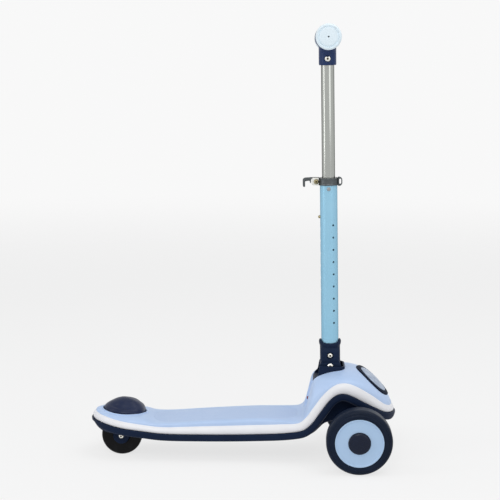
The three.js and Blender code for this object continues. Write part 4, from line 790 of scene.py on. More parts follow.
def basePan():
    sections = []
    for x in hullStations(0, 2.6):
        width = max(halfWidth(x, 0), 1.5)
        corner = min(hull["panCorner"], width * 0.3)
        keelWidth = min(hull["keelHalfWidth"], width * 0.7)
        top = seam(x) - hull["gap"] / 2
        tipRound = hull["panTailRound"] if x < 0 else hull["panNoseRound"]
        rise = min(tipRise(x, 0, tipRound), (top - rim(x)) * 0.75)
        rimZ = rim(x) + rise
        keelZ = min(rimZ - 0.75, keel(x) + rise)
        bend = min(corner, (rimZ - keelZ) * 0.7, keelWidth * 0.3)
        half = rounded([
            (width - 4, top), (width, top, 1.4), (width, rimZ, corner * 1.5), (keelWidth, rimZ, bend),
            (keelWidth, keelZ, bend), (0, keelZ)], steps=5)
        sections.append([(x, y, z) for y, z in half] + [(x, -y, z) for y, z in half[-2::-1]])
    pan = lofted("basePan", sections)
    bay, half, top = wheels["bayHalf"], wheels["bayHalfLength"], kingpin["rubberTop"] + hull["gap"]
    lug, lugEnd = wheels["lugRadius"], bay + wheels["lug"]
    combined(pan, [
        rod("kingBoss", kingpin["boss"], top, 36, 64, 0.8, kingUp),
        rod("lug", lug, -lugEnd, lugEnd, 64, 0.8, rearPlace),
        roundBlock("lugBlock", rearAxleX - lug, rearAxleX + lug, -lugEnd, lugEnd, 1, 38, wheels["bayTop"])],
        "UNION")
    seats = []
    for x, y in screwSpots:
        place = at(x, y, rim(x)) @ upright
        seats.append(rod("seat", screws["head"] + hull["gap"], -8, screws["recess"], 32, place=place))
    combined(pan, [
        roundBlock("bay", rearAxleX - half, rearAxleX + half, -bay, bay, 5, 0, 90),
        rod("pocket", kingpin["boss"] + hull["gap"], -32, top, 64, place=kingUp),
        rod("axleHole", 4.3, -40, 40, 32, place=rearPlace),
        roundBlock("well", foot["x"] - 20, foot["x"] + 20, -24.6, 24.6, 9.5, 110, 170), *seats])
    return dressed(pan, "deck", "navyPlastic", sharp=40)


def bezelTop(x):
    # level side walls that drop at the rear, where the folded stem passes
    low, high = (foot["x"] + reach for reach in foot["bezelDrop"])
    behind = crown(x) - 1.2
    level = foot["bezelTop"] - foot["bezelFall"] * (x - foot["x"])
    return behind + (level - behind) * easeStep(x, low, high)


def stemBezel():
    low, wall, deep = beside(crown, -foot["bezelDepth"]), foot["bezelWall"], 30
    sections = []
    for inset, drop in rounded([(0, deep), (0, 0, 1.1), (wall, 0, 1.1), (wall, deep)]):
        section = []
        for x, y in footOutline(inset):
            section.append((x, y, low(x) if drop == deep else max(bezelTop(x) - drop, low(x))))
        sections.append(section)
    walls = lofted("bezelWall", sections, loop=True)
    sections = []
    for inset, drop in ((wall - 0.2, 2.4), (wall - 0.2, 0), (11, 0), (11, 2.4)):
        sections.append([(x, y, min(foot["shelf"], crown(x) - 2) - drop) for x, y in footOutline(inset)])
    shelf = lofted("shelf", sections, loop=True)
    return dressed(gathered("stemBezel", [walls, shelf]), "deck", "navyPlastic")


emblem = {
    "setback": 31.8, "angle": 41, "halfLength": 38.6, "halfWidth": 47, "ring": 8.6, "ringProud": 2,
    "discProud": 1.4,
}
emblemX = frontAxleX + emblem["setback"]
emblemPlace = at(emblemX, 0, crown(emblemX)) @ about("Y", emblem["angle"])


def onNose(u, v, out):
    # the point of the shell below (u, v) of the emblem's own plane, lifted off the surface by out
    low, high = -30.0, 16.0
    for _ in range(26):
        middle = (low + high) / 2
        spot = emblemPlace @ Vector((u, v, middle))
        if spot.z > shellHeight(min(spot.x, noseTip - 8), spot.y):
            high = middle
        else:
            low = middle
    return emblemPlace @ Vector((u, v, middle + out))


def onNoseRing(a, b, out, count):
    return [onNose(u, v, out) for u, v in ellipse(a, b, count)]


def emblemRing():
    wide, proud = emblem["ring"], emblem["ringProud"]
    profile = rounded([(0, -0.6), (0, proud, 0.9), (wide - 0.6, proud * 0.9, 1.6), (wide, -0.6)])
    a, b = emblem["halfLength"], emblem["halfWidth"]
    sections = [onNoseRing(a - inset, b - inset, out, 112) for inset, out in profile]
    return dressed(lofted("emblemRing", sections, loop=True), "deck", "ringPlastic")


def emblemDisc():
    inset = emblem["ring"] + hull["gap"]
    a, b = emblem["halfLength"] - inset, emblem["halfWidth"] - inset
    rings = [(1, -0.4), (1, 0.7), (0.985, 1.2), (0.95, emblem["discProud"]), (0.93, 1.0)]
    rings += [(share, 0.9) for share in (0.9, 0.75, 0.55, 0.3, 0.08)]
    sections = [onNoseRing(a * share, b * share, out, 96) for share, out in rings]
    return dressed(lofted("emblemDisc", sections), "deck", "emblemFilm")


topShell()
sideBand()
basePan()
stemBezel()
emblemRing()
emblemDisc()
print("hull layers, bezel and emblem made")


def pedalRise(share, turn):
    # height share of the pedal: a bell that runs out in a shallow trough along both sides and the
    # rear, and a full round nose in front
    toFront = easeStep(math.cos(turn), 0.2, 0.95)
    bell = (0.5 + 0.5 * math.cos(math.pi * share)) ** 0.8
    ball = math.sqrt(max(1 - share ** 2.4, 0))
    rise = bell + (ball - bell) * (0.6 + 0.3 * toFront)
    fromTrough = (share - pedal["troughAt"]) / pedal["troughReach"]
    return rise - pedal["trough"] * math.sin(turn) ** 2 * math.exp(-fromTrough ** 2)


def pedalOutline(turn):
    # the front half of the outline is squarer than the rear half
    a, b = superRound(turn, 2 + 0.7 * easeStep(math.cos(turn), -0.1, 0.6))
    return pedal["halfLength"] * a, pedal["halfWidth"] * b


def brakePedal():
    rings, dome, skirt, wall = pedal["rings"], pedal["dome"], -pedal["skirt"], 3
    outer = []
    for i in range(rings):
        share = math.sin(math.pi / 2 * (1 - i / rings))
        ring = []
        for turn in around(pedal["spokes"]):
            x, y = pedalOutline(turn)
            ring.append((x * share, y * share, dome * pedalRise(share, turn)))
        outer.append(ring)
    rimRings = [[(x * share, y * share, z) for x, y, _ in outer[0]]
                for share, z in ((0.93, skirt), (1, skirt), (1, 0.0))]
    ceiling = [[(x * 0.92, y * 0.92, max(z - wall, skirt)) for x, y, z in ring] for ring in outer[::3]]
    outer.append([(0, 0, dome)] * pedal["spokes"])
    ceiling.append([(0, 0, dome - wall)] * pedal["spokes"])
    made = lofted("brakePedal", ceiling[::-1] + rimRings + outer[1:], place=pedalPlace)
    return dressed(made, "brake", "pedalPlastic", sharp=50)


brakePedal()


# Fasteners, made once and placed by size

def buttonBolt(name, place, body, sizes, look="brightSteel"):
    # domed head with a hex recess at the -Y end, shank towards +Y
    radius, height, shank, length = sizes
    made = turned(name, [
        (0, -height), (radius * 0.6, -height, 0.6), (radius, -height * 0.4, 0.8), (radius, 0, 0.2),
        (shank, 0), (shank, length, 0.4), (0, length)], 48, place)
    combined(made, [rod("recess", radius * 0.42, -height - 4, -height * 0.28, 6, place=place)])
    # the faces inside the hex recess get a dark finish, which is painted shade
    dressed(made, body, look, "boltHollow")

    def inRecess(spot, _):
        return math.hypot(spot.x, spot.z) < radius * 0.41 and spot.y < shank

    return repainted(made, inRecess, place)


def hexNut(name, place, body, sizes):
    # chamfered hex nut from y = 0 towards +Y
    radius, bore, height = sizes
    made = rod(name, radius, 0, height, 6, place=place)
    chamfer = turned("chamfer", [
        (0, -0.2), (radius * 0.9, -0.2), (radius * 1.01, height * 0.2), (radius * 1.01, height * 0.8),
        (radius * 0.9, height + 0.2), (0, height + 0.2)], 48, place)
    combined(made, [chamfer], "INTERSECT")
    combined(made, [rod("bore", bore, -2, height + 2, 32, place=place)])
    return dressed(made, body, "brightSteel")


pivotPlace = at(foot["x"], 0, foot["z"])
stemPlace = pivotPlace @ about("Y", -foot["lean"])
stemUp = stemPlace @ upright
onStem = {"socket": 18.5, "clamp": 341.75, "clampSetback": 22.5, "bracket": 565, "bar": 602.5}
faces = {"pivot": 24.4, "rearAxle": 26.1, "socket": 17.7, "bracket": 14.6, "clamp": 4.2, "kingpin": 36.9}
socketPlace = stemPlace @ at(0, 0, onStem["socket"])
clampPlace = stemPlace @ at(-onStem["clampSetback"], 0, onStem["clamp"])
bracketPlace = stemPlace @ at(0, 0, onStem["bracket"])
barPlace = stemPlace @ at(0, 0, onStem["bar"])
buttonBolt("pivotBolt", pivotPlace @ at(0, -faces["pivot"], 0), "deck", (5.2, 2.6, 4, 51.4))
hexNut("pivotNut", pivotPlace @ at(0, faces["pivot"], 0), "deck", (6.5, 4.3, 2.6))
buttonBolt("rearAxle", rearPlace @ at(0, -faces["rearAxle"], 0), "deck", (4.6, 3.2, 4, 57.2))
hexNut("rearAxleNut", rearPlace @ at(0, faces["rearAxle"], 0), "deck", (6.5, 4.3, 5))
buttonBolt("socketBolt", socketPlace @ at(0, -faces["socket"], 0), "stem", (5.2, 2.6, 3, 37.9))
hexNut("socketNut", socketPlace @ at(0, faces["socket"], 0), "stem", (5.9, 3.3, 2.6))
boltPlace = bracketPlace @ at(0, -faces["bracket"], 0)
buttonBolt("bracketBolt", boltPlace, "handlebar_post", (5.2, 3.4, 3, 30.3))
buttonBolt("clampBolt", clampPlace @ at(0, -faces["clamp"], 0), "stem", (4.6, 3.4, 2.5, 18.5), "brass")
hexNut("kingpinNut", kingUp @ at(0, faces["kingpin"], 0), "deck", (8.45, 5.3, 5))


def foldBracket():
    left, right, low, top = foot["x"] - 20, foot["x"] + 20, 152.4, foot["z"] + 6.5
    outline = [(left, low, 1), (right, low, 1), (right, top, 8), (left, top, 8)]
    parts = []
    for side in (-1, 1):
        cheek = plate("cheek", outline, side * 20.9, side * 24.1, 0.7, steps=8)
        parts.append(combined(cheek, [rod("pivotBore", 4.15, -40, 40, 48, place=pivotPlace)]))
    parts.append(softened(roundBlock("bracketBase", left, right, -23.8, 23.8, 3, low, low + 4), 0.6))
    return dressed(gathered("foldBracket", parts), "deck", "navyPlastic")


def superRing(acrossX, acrossY, z, power, count=96):
    points = [superRound(turn, power) for turn in around(count)]
    return [(acrossX * a, acrossY * b, z) for a, b in points]


def stemSocket():
    settings = {
        "radius": 18.7, "half": 20.4, "rimLow": 41.7, "rimEar": 6.2, "lip": 1.7, "lipFoot": 33.8,
        "sides": 96, "bore": 16.3, "floor": 11, "seat": 6.4, "seatFace": 17.4,
    }
    radius, bore, half = settings["radius"], settings["bore"], settings["half"]
    # the lower body is squarer towards its flat bolt faces and turns round below the collar
    sections = []
    for k in range(25):
        z = (settings["lipFoot"] + 1) * k / 24
        square = 1 - easeStep(z, 24, settings["lipFoot"])
        sections.append(superRing(radius, radius + (half - radius) * square, z, 2 + 2.2 * square))
    body = lofted("stemSocket", sections, place=stemPlace)
    combined(body, [rod("knuckle", radius, -half, half, 96, 1.6, stemPlace)], "UNION")
    seats = [rod("seat", settings["seat"], side * settings["seatFace"], side * 40, 48, place=socketPlace)
             for side in (-1, 1)]
    combined(body, seats + [rod("tubeRoom", bore, settings["floor"], 60, 96, place=stemUp)])
    # rolled collar: its rim is low and level at both sides and climbs to an ear in front and behind
    lip = radius + settings["lip"]
    rows = [(bore, -11.5), (bore, -2.2), (bore + 0.5, -0.7), (radius - 0.6, 0), (lip - 0.7, -0.9),
            (lip, -2.6), (lip, -4.6), (lip - 0.6, -6.6), (radius + 0.1, -8.2), (radius - 0.1, -11.5)]
    sections = []
    for ring, drop in rows:
        section = []
        for turn in around(settings["sides"]):
            climb = settings["rimEar"] * abs(math.cos(turn)) ** 5
            reach = ring if ring < radius else ring * (1 + 0.012 * (math.cos(turn) ** 2 - 0.5))
            z = max(settings["rimLow"] + climb * (1 + drop / 12) + drop, settings["lipFoot"] - 4)
            section.append((reach * math.cos(turn), reach * math.sin(turn), z))
        sections.append(section)
    collar = lofted("collar", sections, loop=True, place=stemPlace)
    return dressed(gathered("stemSocket", [body, collar]), "stem", "navyPlastic")


foldBracket()
stemSocket()
print("stem foot made")


# Stem tubes; the painted one has its rows of holes drilled by a node tree

def drilledTubeTree(sizes):
    tree, given = geometryTree("drilledTube", sizes)

    def cylinder(sides, radius, depth):
        values = {"Vertices": sides, "Radius": radius, "Depth": depth}
        return addNode(tree, "GeometryNodeMeshCylinder", values)

    def lifted(geometry, z):
        values = {"Geometry": geometry, "Translation": vectorOf(tree, Z=z)}
        return addNode(tree, "GeometryNodeTransform", values)

    def drillRow(kind):
        radius, top = given[kind + " Hole Radius"], given[kind + " Hole Top"]
        count, turn = given[kind + " Hole Count"], given[kind + " Hole Turn"]
        aimed = addNode(tree, "GeometryNodeTransform", {
            "Geometry": cylinder(24, radius, 0.04), "Translation": (0.02, 0, 0),
            "Rotation": (0, math.pi / 2, 0)})
        row = addNode(tree, "GeometryNodeMeshLine", {
            "Count": count, "Start Location": vectorOf(tree, Z=top),
            "Offset": vectorOf(tree, Z=maths(tree, "MULTIPLY", given["Pitch"], -1.0))})
        return repeated(tree, row, aimed, Rotation=vectorOf(tree, Z=turn))

    length = maths(tree, "SUBTRACT", given["Top"], given["Foot"])
    middle = maths(tree, "MULTIPLY", maths(tree, "ADD", given["Top"], given["Foot"]), 0.5)
    bore = maths(tree, "SUBTRACT", given["Radius"], given["Wall"])
    room = lifted(cylinder(96, bore, maths(tree, "ADD", length, 0.01)), middle)
    tube = lifted(cylinder(96, given["Radius"], length), middle)
    drilled = cutBy(tree, tube, [room, drillRow("Side"), drillRow("Back")])
    return delivered(tree, addNode(tree, "GeometryNodeRealizeInstances", {0: drilled}), given)


def outerTube():
    sizes = {
        "Radius": 0.016, "Wall": 0.0016, "Foot": 0.0113, "Top": 0.346, "Pitch": 0.0228,
        "Side Hole Radius": 0.002, "Side Hole Top": 0.262, "Side Hole Count": 9,
        "Side Hole Turn": math.radians(29 - 90), "Back Hole Radius": 0.0036, "Back Hole Top": 0.2765,
        "Back Hole Count": 7, "Back Hole Turn": math.pi,
    }
    made = grown("outerTube", drilledTubeTree(sizes), sizes, "skyEnamel", stemPlace)
    return dressed(made, "stem", "skyEnamel")


def smallStemParts():
    lathed("innerTube", [(10.5, 246, 0.3), (12, 246, 0.3), (12, 570, 0.3), (10.5, 570, 0.3)],
           96, stemUp, "handlebar_post", "tubeSteel")
    lathed("tubeBush", [
        (12.3, 300, 0.3), (14.1, 300, 0.3), (14.1, 346.3), (15.7, 346.3, 0.2), (15.7, 347.9, 0.7),
        (12.3, 347.9, 0.5)], 96, stemUp, "stem", "nylon")
    lathed("guideRivet", [
        (0, -17.5), (2.4, -17.45, 0.5), (3.6, -16.8, 0.4), (3.6, -16.1, 0.2), (1.5, -16.3), (1.5, -14),
        (0, -14)], 32, stemPlace @ at(0, 0, 328.8), "stem", "rivetSteel")
    lathed("snapButton", [
        (0, 20), (1.6, 19.6, 0.8), (3, 17.2, 1.4), (3, 9.6), (4.5, 9.6, 0.4), (4.5, 8), (0, 8)],
        40, stemPlace @ at(0, 0, 276.5) @ about("Z", 90), "snap", "brass")


def clampCollar():
    settings = {
        "low": 335, "high": 348.5, "inside": 16.3, "outside": 18.3, "ear": 15, "earThick": 2.4, "slit": 1.5,
        "boltHole": 2.8,
    }
    low, high, slit = settings["low"], settings["high"], settings["slit"]
    inside, outside = settings["inside"], settings["outside"]
    band = turned("clampCollar", [
        (inside, low, 0.3), (outside, low, 0.6), (outside + 0.2, low + 1.6, 0.5),
        (outside - 0.2, low + 3, 0.5), (outside - 0.2, high - 3, 0.5), (outside + 0.2, high - 1.6, 0.5),
        (outside, high, 0.6), (inside, high, 0.3)], 96, stemUp)
    combined(band, [roundBlock("slit", -40, -10, -slit, slit, 0.3, low - 5, high + 5, stemPlace)])
    loop = plate("loop", [
        (outside - 1, low - 1.6, 1), (outside - 1, high + 1.6, 1), (outside + 3.5, high + 1.6, 2.5),
        (outside + 7, high - 2, 3), (outside + 7, low + 2, 3), (outside + 3.5, low - 1.6, 2.5)],
        -3.5, 3.5, 0.7, stemPlace)
    combined(loop, [plate("loopRoom", [
        (outside + 1.2, low + 2, 1), (outside + 1.2, high - 2, 1), (outside + 5, high - 2, 1.6),
        (outside + 5, low + 2, 1.6)], -8, 8, 0.1, stemPlace, 4)])
    root, end = -inside - 0.2, -inside - settings["ear"]
    parts = [band, loop]
    for side in (-1, 1):
        near, far = sorted((side * slit, side * (slit + settings["earThick"])))
        corners = [(root, low), (root, high), (end, high, 4.5), (end, low, 4.5)]
        ear = plate("ear", corners, near, far, 0.3, stemPlace)
        parts.append(combined(ear, [rod("bore", settings["boltHole"], -20, 20, 32, place=clampPlace)]))
    # band and ears are one steel part: the pale finish on the ears is a painted highlight, and the band's
    # dark steel stands in for its darker reflection, painted shade
    made = dressed(gathered("clampCollar", parts), "stem", "darkSteel", "zincPlate")

    def onEars(spot, _):
        return spot.x < -outside - 0.4

    return repainted(made, onEars, stemPlace)


def clampLever():
    # stamped channel: long rear leg, short front prong and an open hub round the pin
    pinPlace = clampPlace @ at(0, 10.5, 0)
    arm = plate("clampLever", [
        (-25, 4.05, 3), (-21, 6.2, 1.5), (-9.4, 6.75, 1.2), (2, 6.75, 1.0), (2, 4.5, 0.8), (-9.4, 4.1, 0.6),
        (-10.2, -3.2, 0.5), (-11.4, -3.6, 0.5), (-12.4, 1.4, 2), (-20.6, 0, 1.6), (-20.6, -10.3, 1.6),
        (-24.2, -10.3, 1.6), (-25, -6.7, 1.5)], 5.1, 16.5, 0.8, clampPlace)
    combined(arm, [plate("channel", [
        (-19, 3.9, 1), (-10.6, 4.2, 1), (-10.6, -20, 1), (-19, -20, 1)], 6.6, 15.1, 0.3, clampPlace, 4)])
    combined(arm, [rod("hub", 6, -6.75, 6.75, 64, 0.6, pinPlace @ upright)], "UNION")
    combined(arm, [
        roundBlock("earRoom", -9.4, 12, -12, 4.5, 0.4, -20, 20, clampPlace),
        roundBlock("fork", -9.6, 12, -11.4, 5, 0.4, -3.1, 3.1, pinPlace),
        rod("pinHole", 2.15, -14, 14, 32, place=pinPlace @ upright)])
    return dressed(arm, "lever", "darkSteel")


outerTube()
smallStemParts()
clampCollar()
clampLever()
print("stem tubes and quick-release made")


# Handlebar

def tBracket():
    settings = {"barrel": 23, "half": 29, "neck": 16, "length": 49}
    neck, low = settings["neck"], -settings["length"]
    rows = [low + 25.5 * k / 14 for k in range(15)]
    rows += [-23.5 + 46.5 * (1 - math.cos(math.pi * k / 40)) / 2 for k in range(1, 41)]
    sections = []
    for z in rows:
        blend = easeStep(z, -27, -6)
        barrelX = math.sqrt(max(settings["barrel"] ** 2 - z * z, 0.5))
        acrossX = neck + (max(barrelX, neck if z < 0 else 0) - neck) * blend
        acrossY = neck + (settings["half"] - neck) * blend
        edge = 1 - 0.05 * (1 - easeStep(z, low, low + 1.2))
        sections.append(superRing(acrossX * edge, acrossY * edge, z, 2 + 6 * blend))
    made = lofted("tBracket", sections, place=barPlace)
    combined(made, [
        rod("recess", 6.2, -40, -14.2, 48, place=bracketPlace),
        rod("tube", 12.3, 540, 570.3, 96, place=stemUp),
        rod("bar", 11.3, -60, 60, 64, place=barPlace)])
    return dressed(made, "handlebar_post", "bracketPlastic")


ribSizes = {"Radius": 0.0157, "Rib Size": 0.0008, "Start": 0.0405, "Pitch": 0.0044, "Count": 22}


def gripRibTree():
    # round ribs evenly spaced along Y
    tree, given = geometryTree("gripRibs", ribSizes)
    ring = addNode(tree, "GeometryNodeCurvePrimitiveCircle", {"Resolution": 56, "Radius": given["Radius"]})
    wire = addNode(tree, "GeometryNodeCurvePrimitiveCircle", {"Resolution": 8, "Radius": given["Rib Size"]})
    rib = addNode(tree, "GeometryNodeCurveToMesh", {"Curve": ring, "Profile Curve": wire})
    row = addNode(tree, "GeometryNodeMeshLine", {
        "Count": given["Count"], "Start Location": vectorOf(tree, Y=given["Start"]),
        "Offset": vectorOf(tree, Y=given["Pitch"])})
    return delivered(tree, repeated(tree, row, rib, Rotation=(math.pi / 2, 0, 0)), given)


def grip(name, side, ribTree):
    sizes = {
        "inner": 29.3, "outer": 150, "bore": 11.3, "barrel": 15.7, "flange": 19, "end": 22.5,
        "endLength": 9, "dish": 18, "sink": 2,
    }
    inner, outer, end, barrel = sizes["inner"], sizes["outer"], sizes["end"], sizes["barrel"]
    flange, dish, lip = sizes["flange"], sizes["dish"], outer - sizes["endLength"]
    place = barPlace @ about("Z", 90 - 90 * side)
    skin = turned("grip", [
        (sizes["bore"], inner, 0.3), (flange, inner, 1), (flange, inner + 3, 1.2),
        (barrel, inner + 4.5, 1), (16.3, (inner + lip) / 2, 20), (barrel, lip - 4, 3),
        (end - 1.5, lip, 2.5), (end, lip + 3, 2), (end, outer - 2.6, 2.2), (end - 2.4, outer, 1.8),
        (dish + 0.8, outer - 0.2, 1), (dish, outer - sizes["sink"], 0.6),
        (dish - 1, outer - sizes["sink"], 0.6), (dish - 2.8, outer - 0.3, 2), (2.2, outer - 0.1, 0.4),
        (1.4, outer - 0.6, 0.4), (1.4, 144.3), (sizes["bore"], 144.3)], 72, place, 6)
    ribs = grown("ribs", ribTree, ribSizes, "gripRubber", place)
    return dressed(gathered(name, [skin, ribs]), "handlebar_post", "gripRubber")


tBracket()
ribTree = gripRibTree()
grip("gripLeft", 1, ribTree)
grip("gripRight", -1, ribTree)
print("handlebar made")


# Wheels

markSizes = {"Radius": 0.0542, "Count": 40, "Length": 0.0022, "Width": 0.0009, "Height": 0.0012}


def sidewallMarkTree():
    # moulded pips in a ring on a sidewall, standing on the plane y = 0
    tree, given = geometryTree("sidewallMarks", markSizes)
    ring = addNode(tree, "GeometryNodeMeshCircle", {"Vertices": given["Count"], "Radius": given["Radius"]})
    pip = addNode(tree, "GeometryNodeMeshUVSphere", {"Segments": 10, "Rings": 6, "Radius": 1.0})
    where = addNode(tree, "GeometryNodeInputPosition")
    facing = addNode(tree, "FunctionNodeAlignEulerToVector", {"Vector": where}, axis="X")
    size = vectorOf(tree, X=given["Width"], Y=given["Length"], Z=given["Height"])
    laid = repeated(tree, ring, pip, Rotation=facing, Scale=size)
    stood = addNode(tree, "GeometryNodeTransform", {"Geometry": laid, "Rotation": (-math.pi / 2, 0, 0)})
    return delivered(tree, stood, given)


def bearing(name, place, body, centre):
    # two rings with a sunk seal between them
    half = [(4.3, 3.5, 0.4), (6.2, 3.5, 0.3), (6.3, 3), (9.0, 3), (9.1, 3.5, 0.3), (11, 3.5, 0.5)]
    lathed(name, bothSides(half), 48, place @ at(0, centre, 0), body, "brightSteel", 3)


def frontWheel(side, way, markTree):
    place = at(frontAxleX, way * wheels["frontOffset"], wheels["frontRadius"]) @ about("Z", 90 - 90 * way)
    body = f"{side}_front_wheel"
    half, core = wheels["frontHalf"], wheels["coreRadius"]
    tyre = turned("tyre", [
        (core + 0.6, -half, 0.4), (50, -half, 2), (57, -half + 2.4, 4), (60, -half + 7, 4),
        (60, half - 7, 4), (57.4, half - 2.2, 3), (51.5, half - 0.6, 1.5), (50.6, half, 0.5),
        (core + 0.6, half, 0.4)], 128, place, 7)
    marks = grown("marks", markTree, markSizes, "frontRubber", place @ at(0, half - 1.5, 0))
    dressed(gathered(f"frontTyre_{side}", [tyre, marks]), body, "frontRubber")
    lathed(f"coverDisc_{side}", [
        (20.3, 15.8), (core, 15.8, 0.2), (core, half + 0.4, 0.6), (core - 2, half + 0.4, 0.8),
        (core - 3.4, half - 1.2, 0.8), (32, half - 1.5, 12), (20.3, half - 1.2, 0.3)],
        128, place, body, "discPlastic", 5)
    lathed(f"hubCap_{side}", [
        (0, 19.3), (17, 19.3), (17, 15.8), (20, 15.8), (20, half + 0.4, 0.8), (17, half + 2.6, 3),
        (10, half + 3.9, 6), (0, half + 4)], 96, place, body, "capPlastic", 6)
    web = turned(f"frontCore_{side}", [
        (11.3, -half, 0.4), (15.3, -half, 0.8), (15.3, -2.5, 1.5), (41, -2.5, 1.5), (41, 1 - half, 0.8),
        (45, 1 - half, 0.8), (45, 15.5, 0.4), (41, 15.5), (41, 2.5, 1), (15.3, 2.5, 1), (15.3, 15.5),
        (11.3, 15.5)], 96, place)
    holes = [rod("hole", 6.5, -5, 5, 32, place=place @ at(x, 0, z)) for x, z in ellipse(28.15, 28.15, 5)]
    dressed(combined(web, holes), body, "navyPlastic")
    bearing(f"outerBearing_{side}", place, body, 12)
    bearing(f"innerBearing_{side}", place, body, -15.5)


def rearWheel():
    half, core = wheels["rearHalf"], wheels["rearCoreRadius"]
    tyre = [(core + 0.6, half - 0.6), (16.4, half - 0.6, 0.2), (16.4, half, 0.3), (33, half, 2),
            (37.2, half - 2.2, 2.5), (38, half - 6, 3)]
    web = [(11.3, half, 0.4), (15.3, half, 0.8), (15.3, 2.5, 1.5), (21, 2.5, 1.5), (21, half - 1, 0.6),
           (core, half - 1, 0.6)]
    for name, line, sides, look, steps in (
            ("rearTyre", tyre, 96, "rearRubber", 5), ("rearCore", web, 80, "navyPlastic", 4)):
        lathed(name, bothSides(line), sides, rearPlace, "rear_wheel", look, steps)
    bearing("rearBearingLeft", rearPlace, "rear_wheel", 15.5)
    bearing("rearBearingRight", rearPlace, "rear_wheel", -15.5)


def frontTruck():
    end = wheels["frontOffset"] - wheels["frontHalf"] - hull["gap"]
    half = [(0, end), (6.2, end, 0.4), (6.2, end - 2), (11, end - 2, 0.6), (11, end - 6, 0.6),
            (8, end - 6, 0.6), (10, 30, 3)]
    beam = turned("truckBeam", bothSides(half), 64, at(frontAxleX, 0, wheels["frontRadius"]))
    combined(beam, [rod("eye", kingpin["trunnion"], -10, 10, 64, 1.2, kingUp)], "UNION")
    combined(beam, [
        rod("room", kingpin["boss"], 10, 34, 64, place=kingUp),
        rod("room", kingpin["boss"], -34, -10, 64, place=kingUp),
        rod("pinRoom", 5.3, -30, 30, 48, place=kingUp)])
    dressed(beam, "front_truck", "darkSteel")
    for name, start in (("bushUpper", 10.3), ("bushLower", -16.3)):
        lathed(name, [
            (5.3, start, 0.3), (11.6, start, 1), (13, start + 3, 2), (11.6, start + 6, 1),
            (5.3, start + 6, 0.3)], 64, kingUp, "front_truck", "bushRubber", 5)
    pin = turned("kingpin", [
        (0, -21.6), (8.5, -21.6, 1.6), (8.5, -16.6, 0.4), (5, -16.6), (5, 50.3, 0.8), (0, 50.3)], 48, kingUp)
    combined(pin, [rod("drive", 4, -30, -18.4, 6, place=kingUp)])
    dressed(pin, "deck", "darkSteel", nodes=["kingpin"])


markTree = sidewallMarkTree()
frontWheel("left", 1, markTree)
frontWheel("right", -1, markTree)
rearWheel()
frontTruck()
print("wheels and truck made")


# Small parts

def panScrewTree(sizes):
    # cross-head screws on the four corners of a rectangle, heads facing down
    tree, given = geometryTree("panScrews", sizes)
    head = addNode(tree, "GeometryNodeMeshCone", {
        "Vertices": 40, "Radius Top": given["Radius"], "Radius Bottom": given["Radius"],
        "Depth": given["Height"]})
    arm = vectorOf(tree, X=given["Slot Length"], Y=given["Slot Width"], Z=given["Slot Depth"])
    bar = addNode(tree, "GeometryNodeMeshCube", {"Size": arm})
    turnedBar = addNode(tree, "GeometryNodeTransform", {"Geometry": bar, "Rotation": (0, 0, math.pi / 2)})
    field = addNode(tree, "GeometryNodeMeshGrid", {
        "Size X": given["Length"], "Size Y": given["Width"], "Vertices X": 2, "Vertices Y": 2})
    return delivered(tree, repeated(tree, field, cutBy(tree, head, [bar, turnedBar])), given)


def panScrews():
    rear, front = (stationX(station) for station in screws["stations"])
    sizes = {
        "Length": (front - rear) * mm, "Width": 2 * screws["spread"] * mm, "Radius": 0.0038,
        "Height": 0.0011, "Slot Length": 0.0046, "Slot Width": 0.0009, "Slot Depth": 0.0012,
    }
    place = at((rear + front) / 2, 0, rim(rear) + 0.75)
    made = grown("panScrews", panScrewTree(sizes), sizes, "brightSteel", place)
    return dressed(made, "deck", "brightSteel", nodes=[f"pan_screw_{k}" for k in (1, 2, 3, 4)])


def powerButton():
    proud = button["proud"]
    lathed("powerButton", [
        (0, -proud), (2, -proud, 0.5), (2.8, -proud, 0.9), (2.8, 6), (5, 6, 0.3), (5, 8, 0.3), (1.4, 8),
        (1.4, 12.8), (0, 12.8)], 40, buttonPlace, "button", "redPlastic")


panScrews()
powerButton()
for name in ("front_axle", "axle_nut_left", "axle_nut_right", "clamp_pin", "brake_pin", "brake_spring",
             "handlebar_tube"):
    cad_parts[name].data.materials.clear()
    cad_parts[name].data.materials.append(looks["brightSteel"])
print("small parts made")


# Studio: pale floor that fades into the backdrop, soft even light, and the photograph's camera

studio = {
    "floorRadius": 7.0, "fade": (1.6, 5.0), "floor": (0.92, 0.92, 0.925, 1),
    "backdrop": (0.94, 0.94, 0.94, 1), "veil": 0.78, "worldLevel": 0.48, "aim": (0.0, 0.0, 0.35),
    "softboxes": {
        "keyBox": {"spot": (-2.1, -0.8, 1.3), "size": (0.5, 2.4), "power": 11},
        "frontBox": {"spot": (-0.2, -2.8, 2.3), "size": (1.2, 1.2), "power": 23},
        "fillBox": {"spot": (1.9, -2.4, 1.3), "size": (1.4, 1.6), "power": 8},
        "topBox": {"spot": (0.9, -0.3, 2.7), "size": (1.8, 1.8), "power": 20},
    },
}


def backdropRays(tree):
    # 1 for the rays that should see the plain backdrop itself
    path = addNode(tree, "ShaderNodeLightPath").outputs
    seen = path["Is Camera Ray"]
    for kind in ("Is Glossy Ray", "Is Transmission Ray"):
        seen = maths(tree, "MAXIMUM", seen, path[kind])
    return seen


def mixShader(tree, factor, first, second):
    return addNode(tree, "ShaderNodeMixShader", {0: factor, 1: first, 2: second})


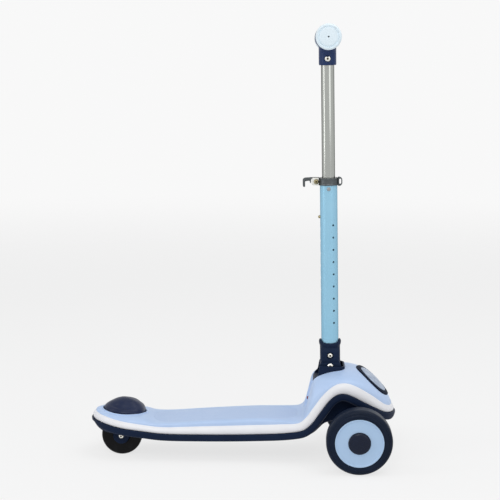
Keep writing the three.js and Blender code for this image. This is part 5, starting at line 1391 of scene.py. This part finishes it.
def floorMaterial():
    material = bpy.data.materials.new("studioFloor")
    material.use_nodes = True
    tree = material.node_tree
    tree.nodes.clear()
    far = addNode(tree, "ShaderNodeVectorMath", {0: objectSpot(tree)}, operation="LENGTH").outputs["Value"]
    fade = ranged(tree, far, *studio["fade"], interpolation_type="SMOOTHSTEP")
    clear = maths(tree, "MAXIMUM", fade, addNode(tree, "ShaderNodeNewGeometry").outputs["Backfacing"])
    paint = addNode(tree, "ShaderNodeBsdfDiffuse", {"Color": studio["floor"]})
    glow = addNode(tree, "ShaderNodeEmission", {"Color": studio["backdrop"], "Strength": 1.0})
    veiled = mixShader(tree, maths(tree, "MULTIPLY", backdropRays(tree), studio["veil"]), paint, glow)
    surface = mixShader(tree, clear, veiled, addNode(tree, "ShaderNodeBsdfTransparent"))
    addNode(tree, "ShaderNodeOutputMaterial", {"Surface": surface})
    return material


def makeStudio():
    bpy.ops.mesh.primitive_circle_add(vertices=96, radius=studio["floorRadius"], fill_type="NGON")
    floor = bpy.context.object
    floor.name = "studioFloor"
    floor.data.materials.append(floorMaterial())
    world = bpy.data.worlds.new("studioWorld")
    scene.world = world
    world.use_nodes = True
    tree = world.node_tree
    tree.nodes.clear()
    light = addNode(tree, "ShaderNodeBackground", {"Color": (1, 1, 1, 1), "Strength": studio["worldLevel"]})
    seen = addNode(tree, "ShaderNodeBackground", {"Color": studio["backdrop"], "Strength": 1.0})
    addNode(tree, "ShaderNodeOutputWorld", {"Surface": mixShader(tree, backdropRays(tree), light, seen)})
    for name, box in studio["softboxes"].items():
        lamp = bpy.data.lights.new(name, "AREA")
        lamp.energy = box["power"]
        lamp.shape = "RECTANGLE"
        lamp.size, lamp.size_y = box["size"]
        holder = linked(name, lamp)
        holder.location = box["spot"]
        towards = Vector(studio["aim"]) - Vector(box["spot"])
        holder.rotation_euler = towards.to_track_quat("-Z", "Y").to_euler()
        holder.visible_camera = False


def makeCamera():
    settings = {"sensor": 36, "lens": 98.06, "spot": (0.116, -2.5, 0.745), "down": 8.1, "turn": 2.35}
    data = bpy.data.cameras.new("photoCamera")
    data.sensor_width = settings["sensor"]
    data.lens = settings["lens"]
    camera = linked("photoCamera", data)
    camera.location = settings["spot"]
    camera.rotation_euler = (math.radians(90 - settings["down"]), 0, math.radians(settings["turn"]))
    scene.camera = camera


makeStudio()
makeCamera()
scene.view_settings.view_transform = "Standard"
print("studio and camera made")
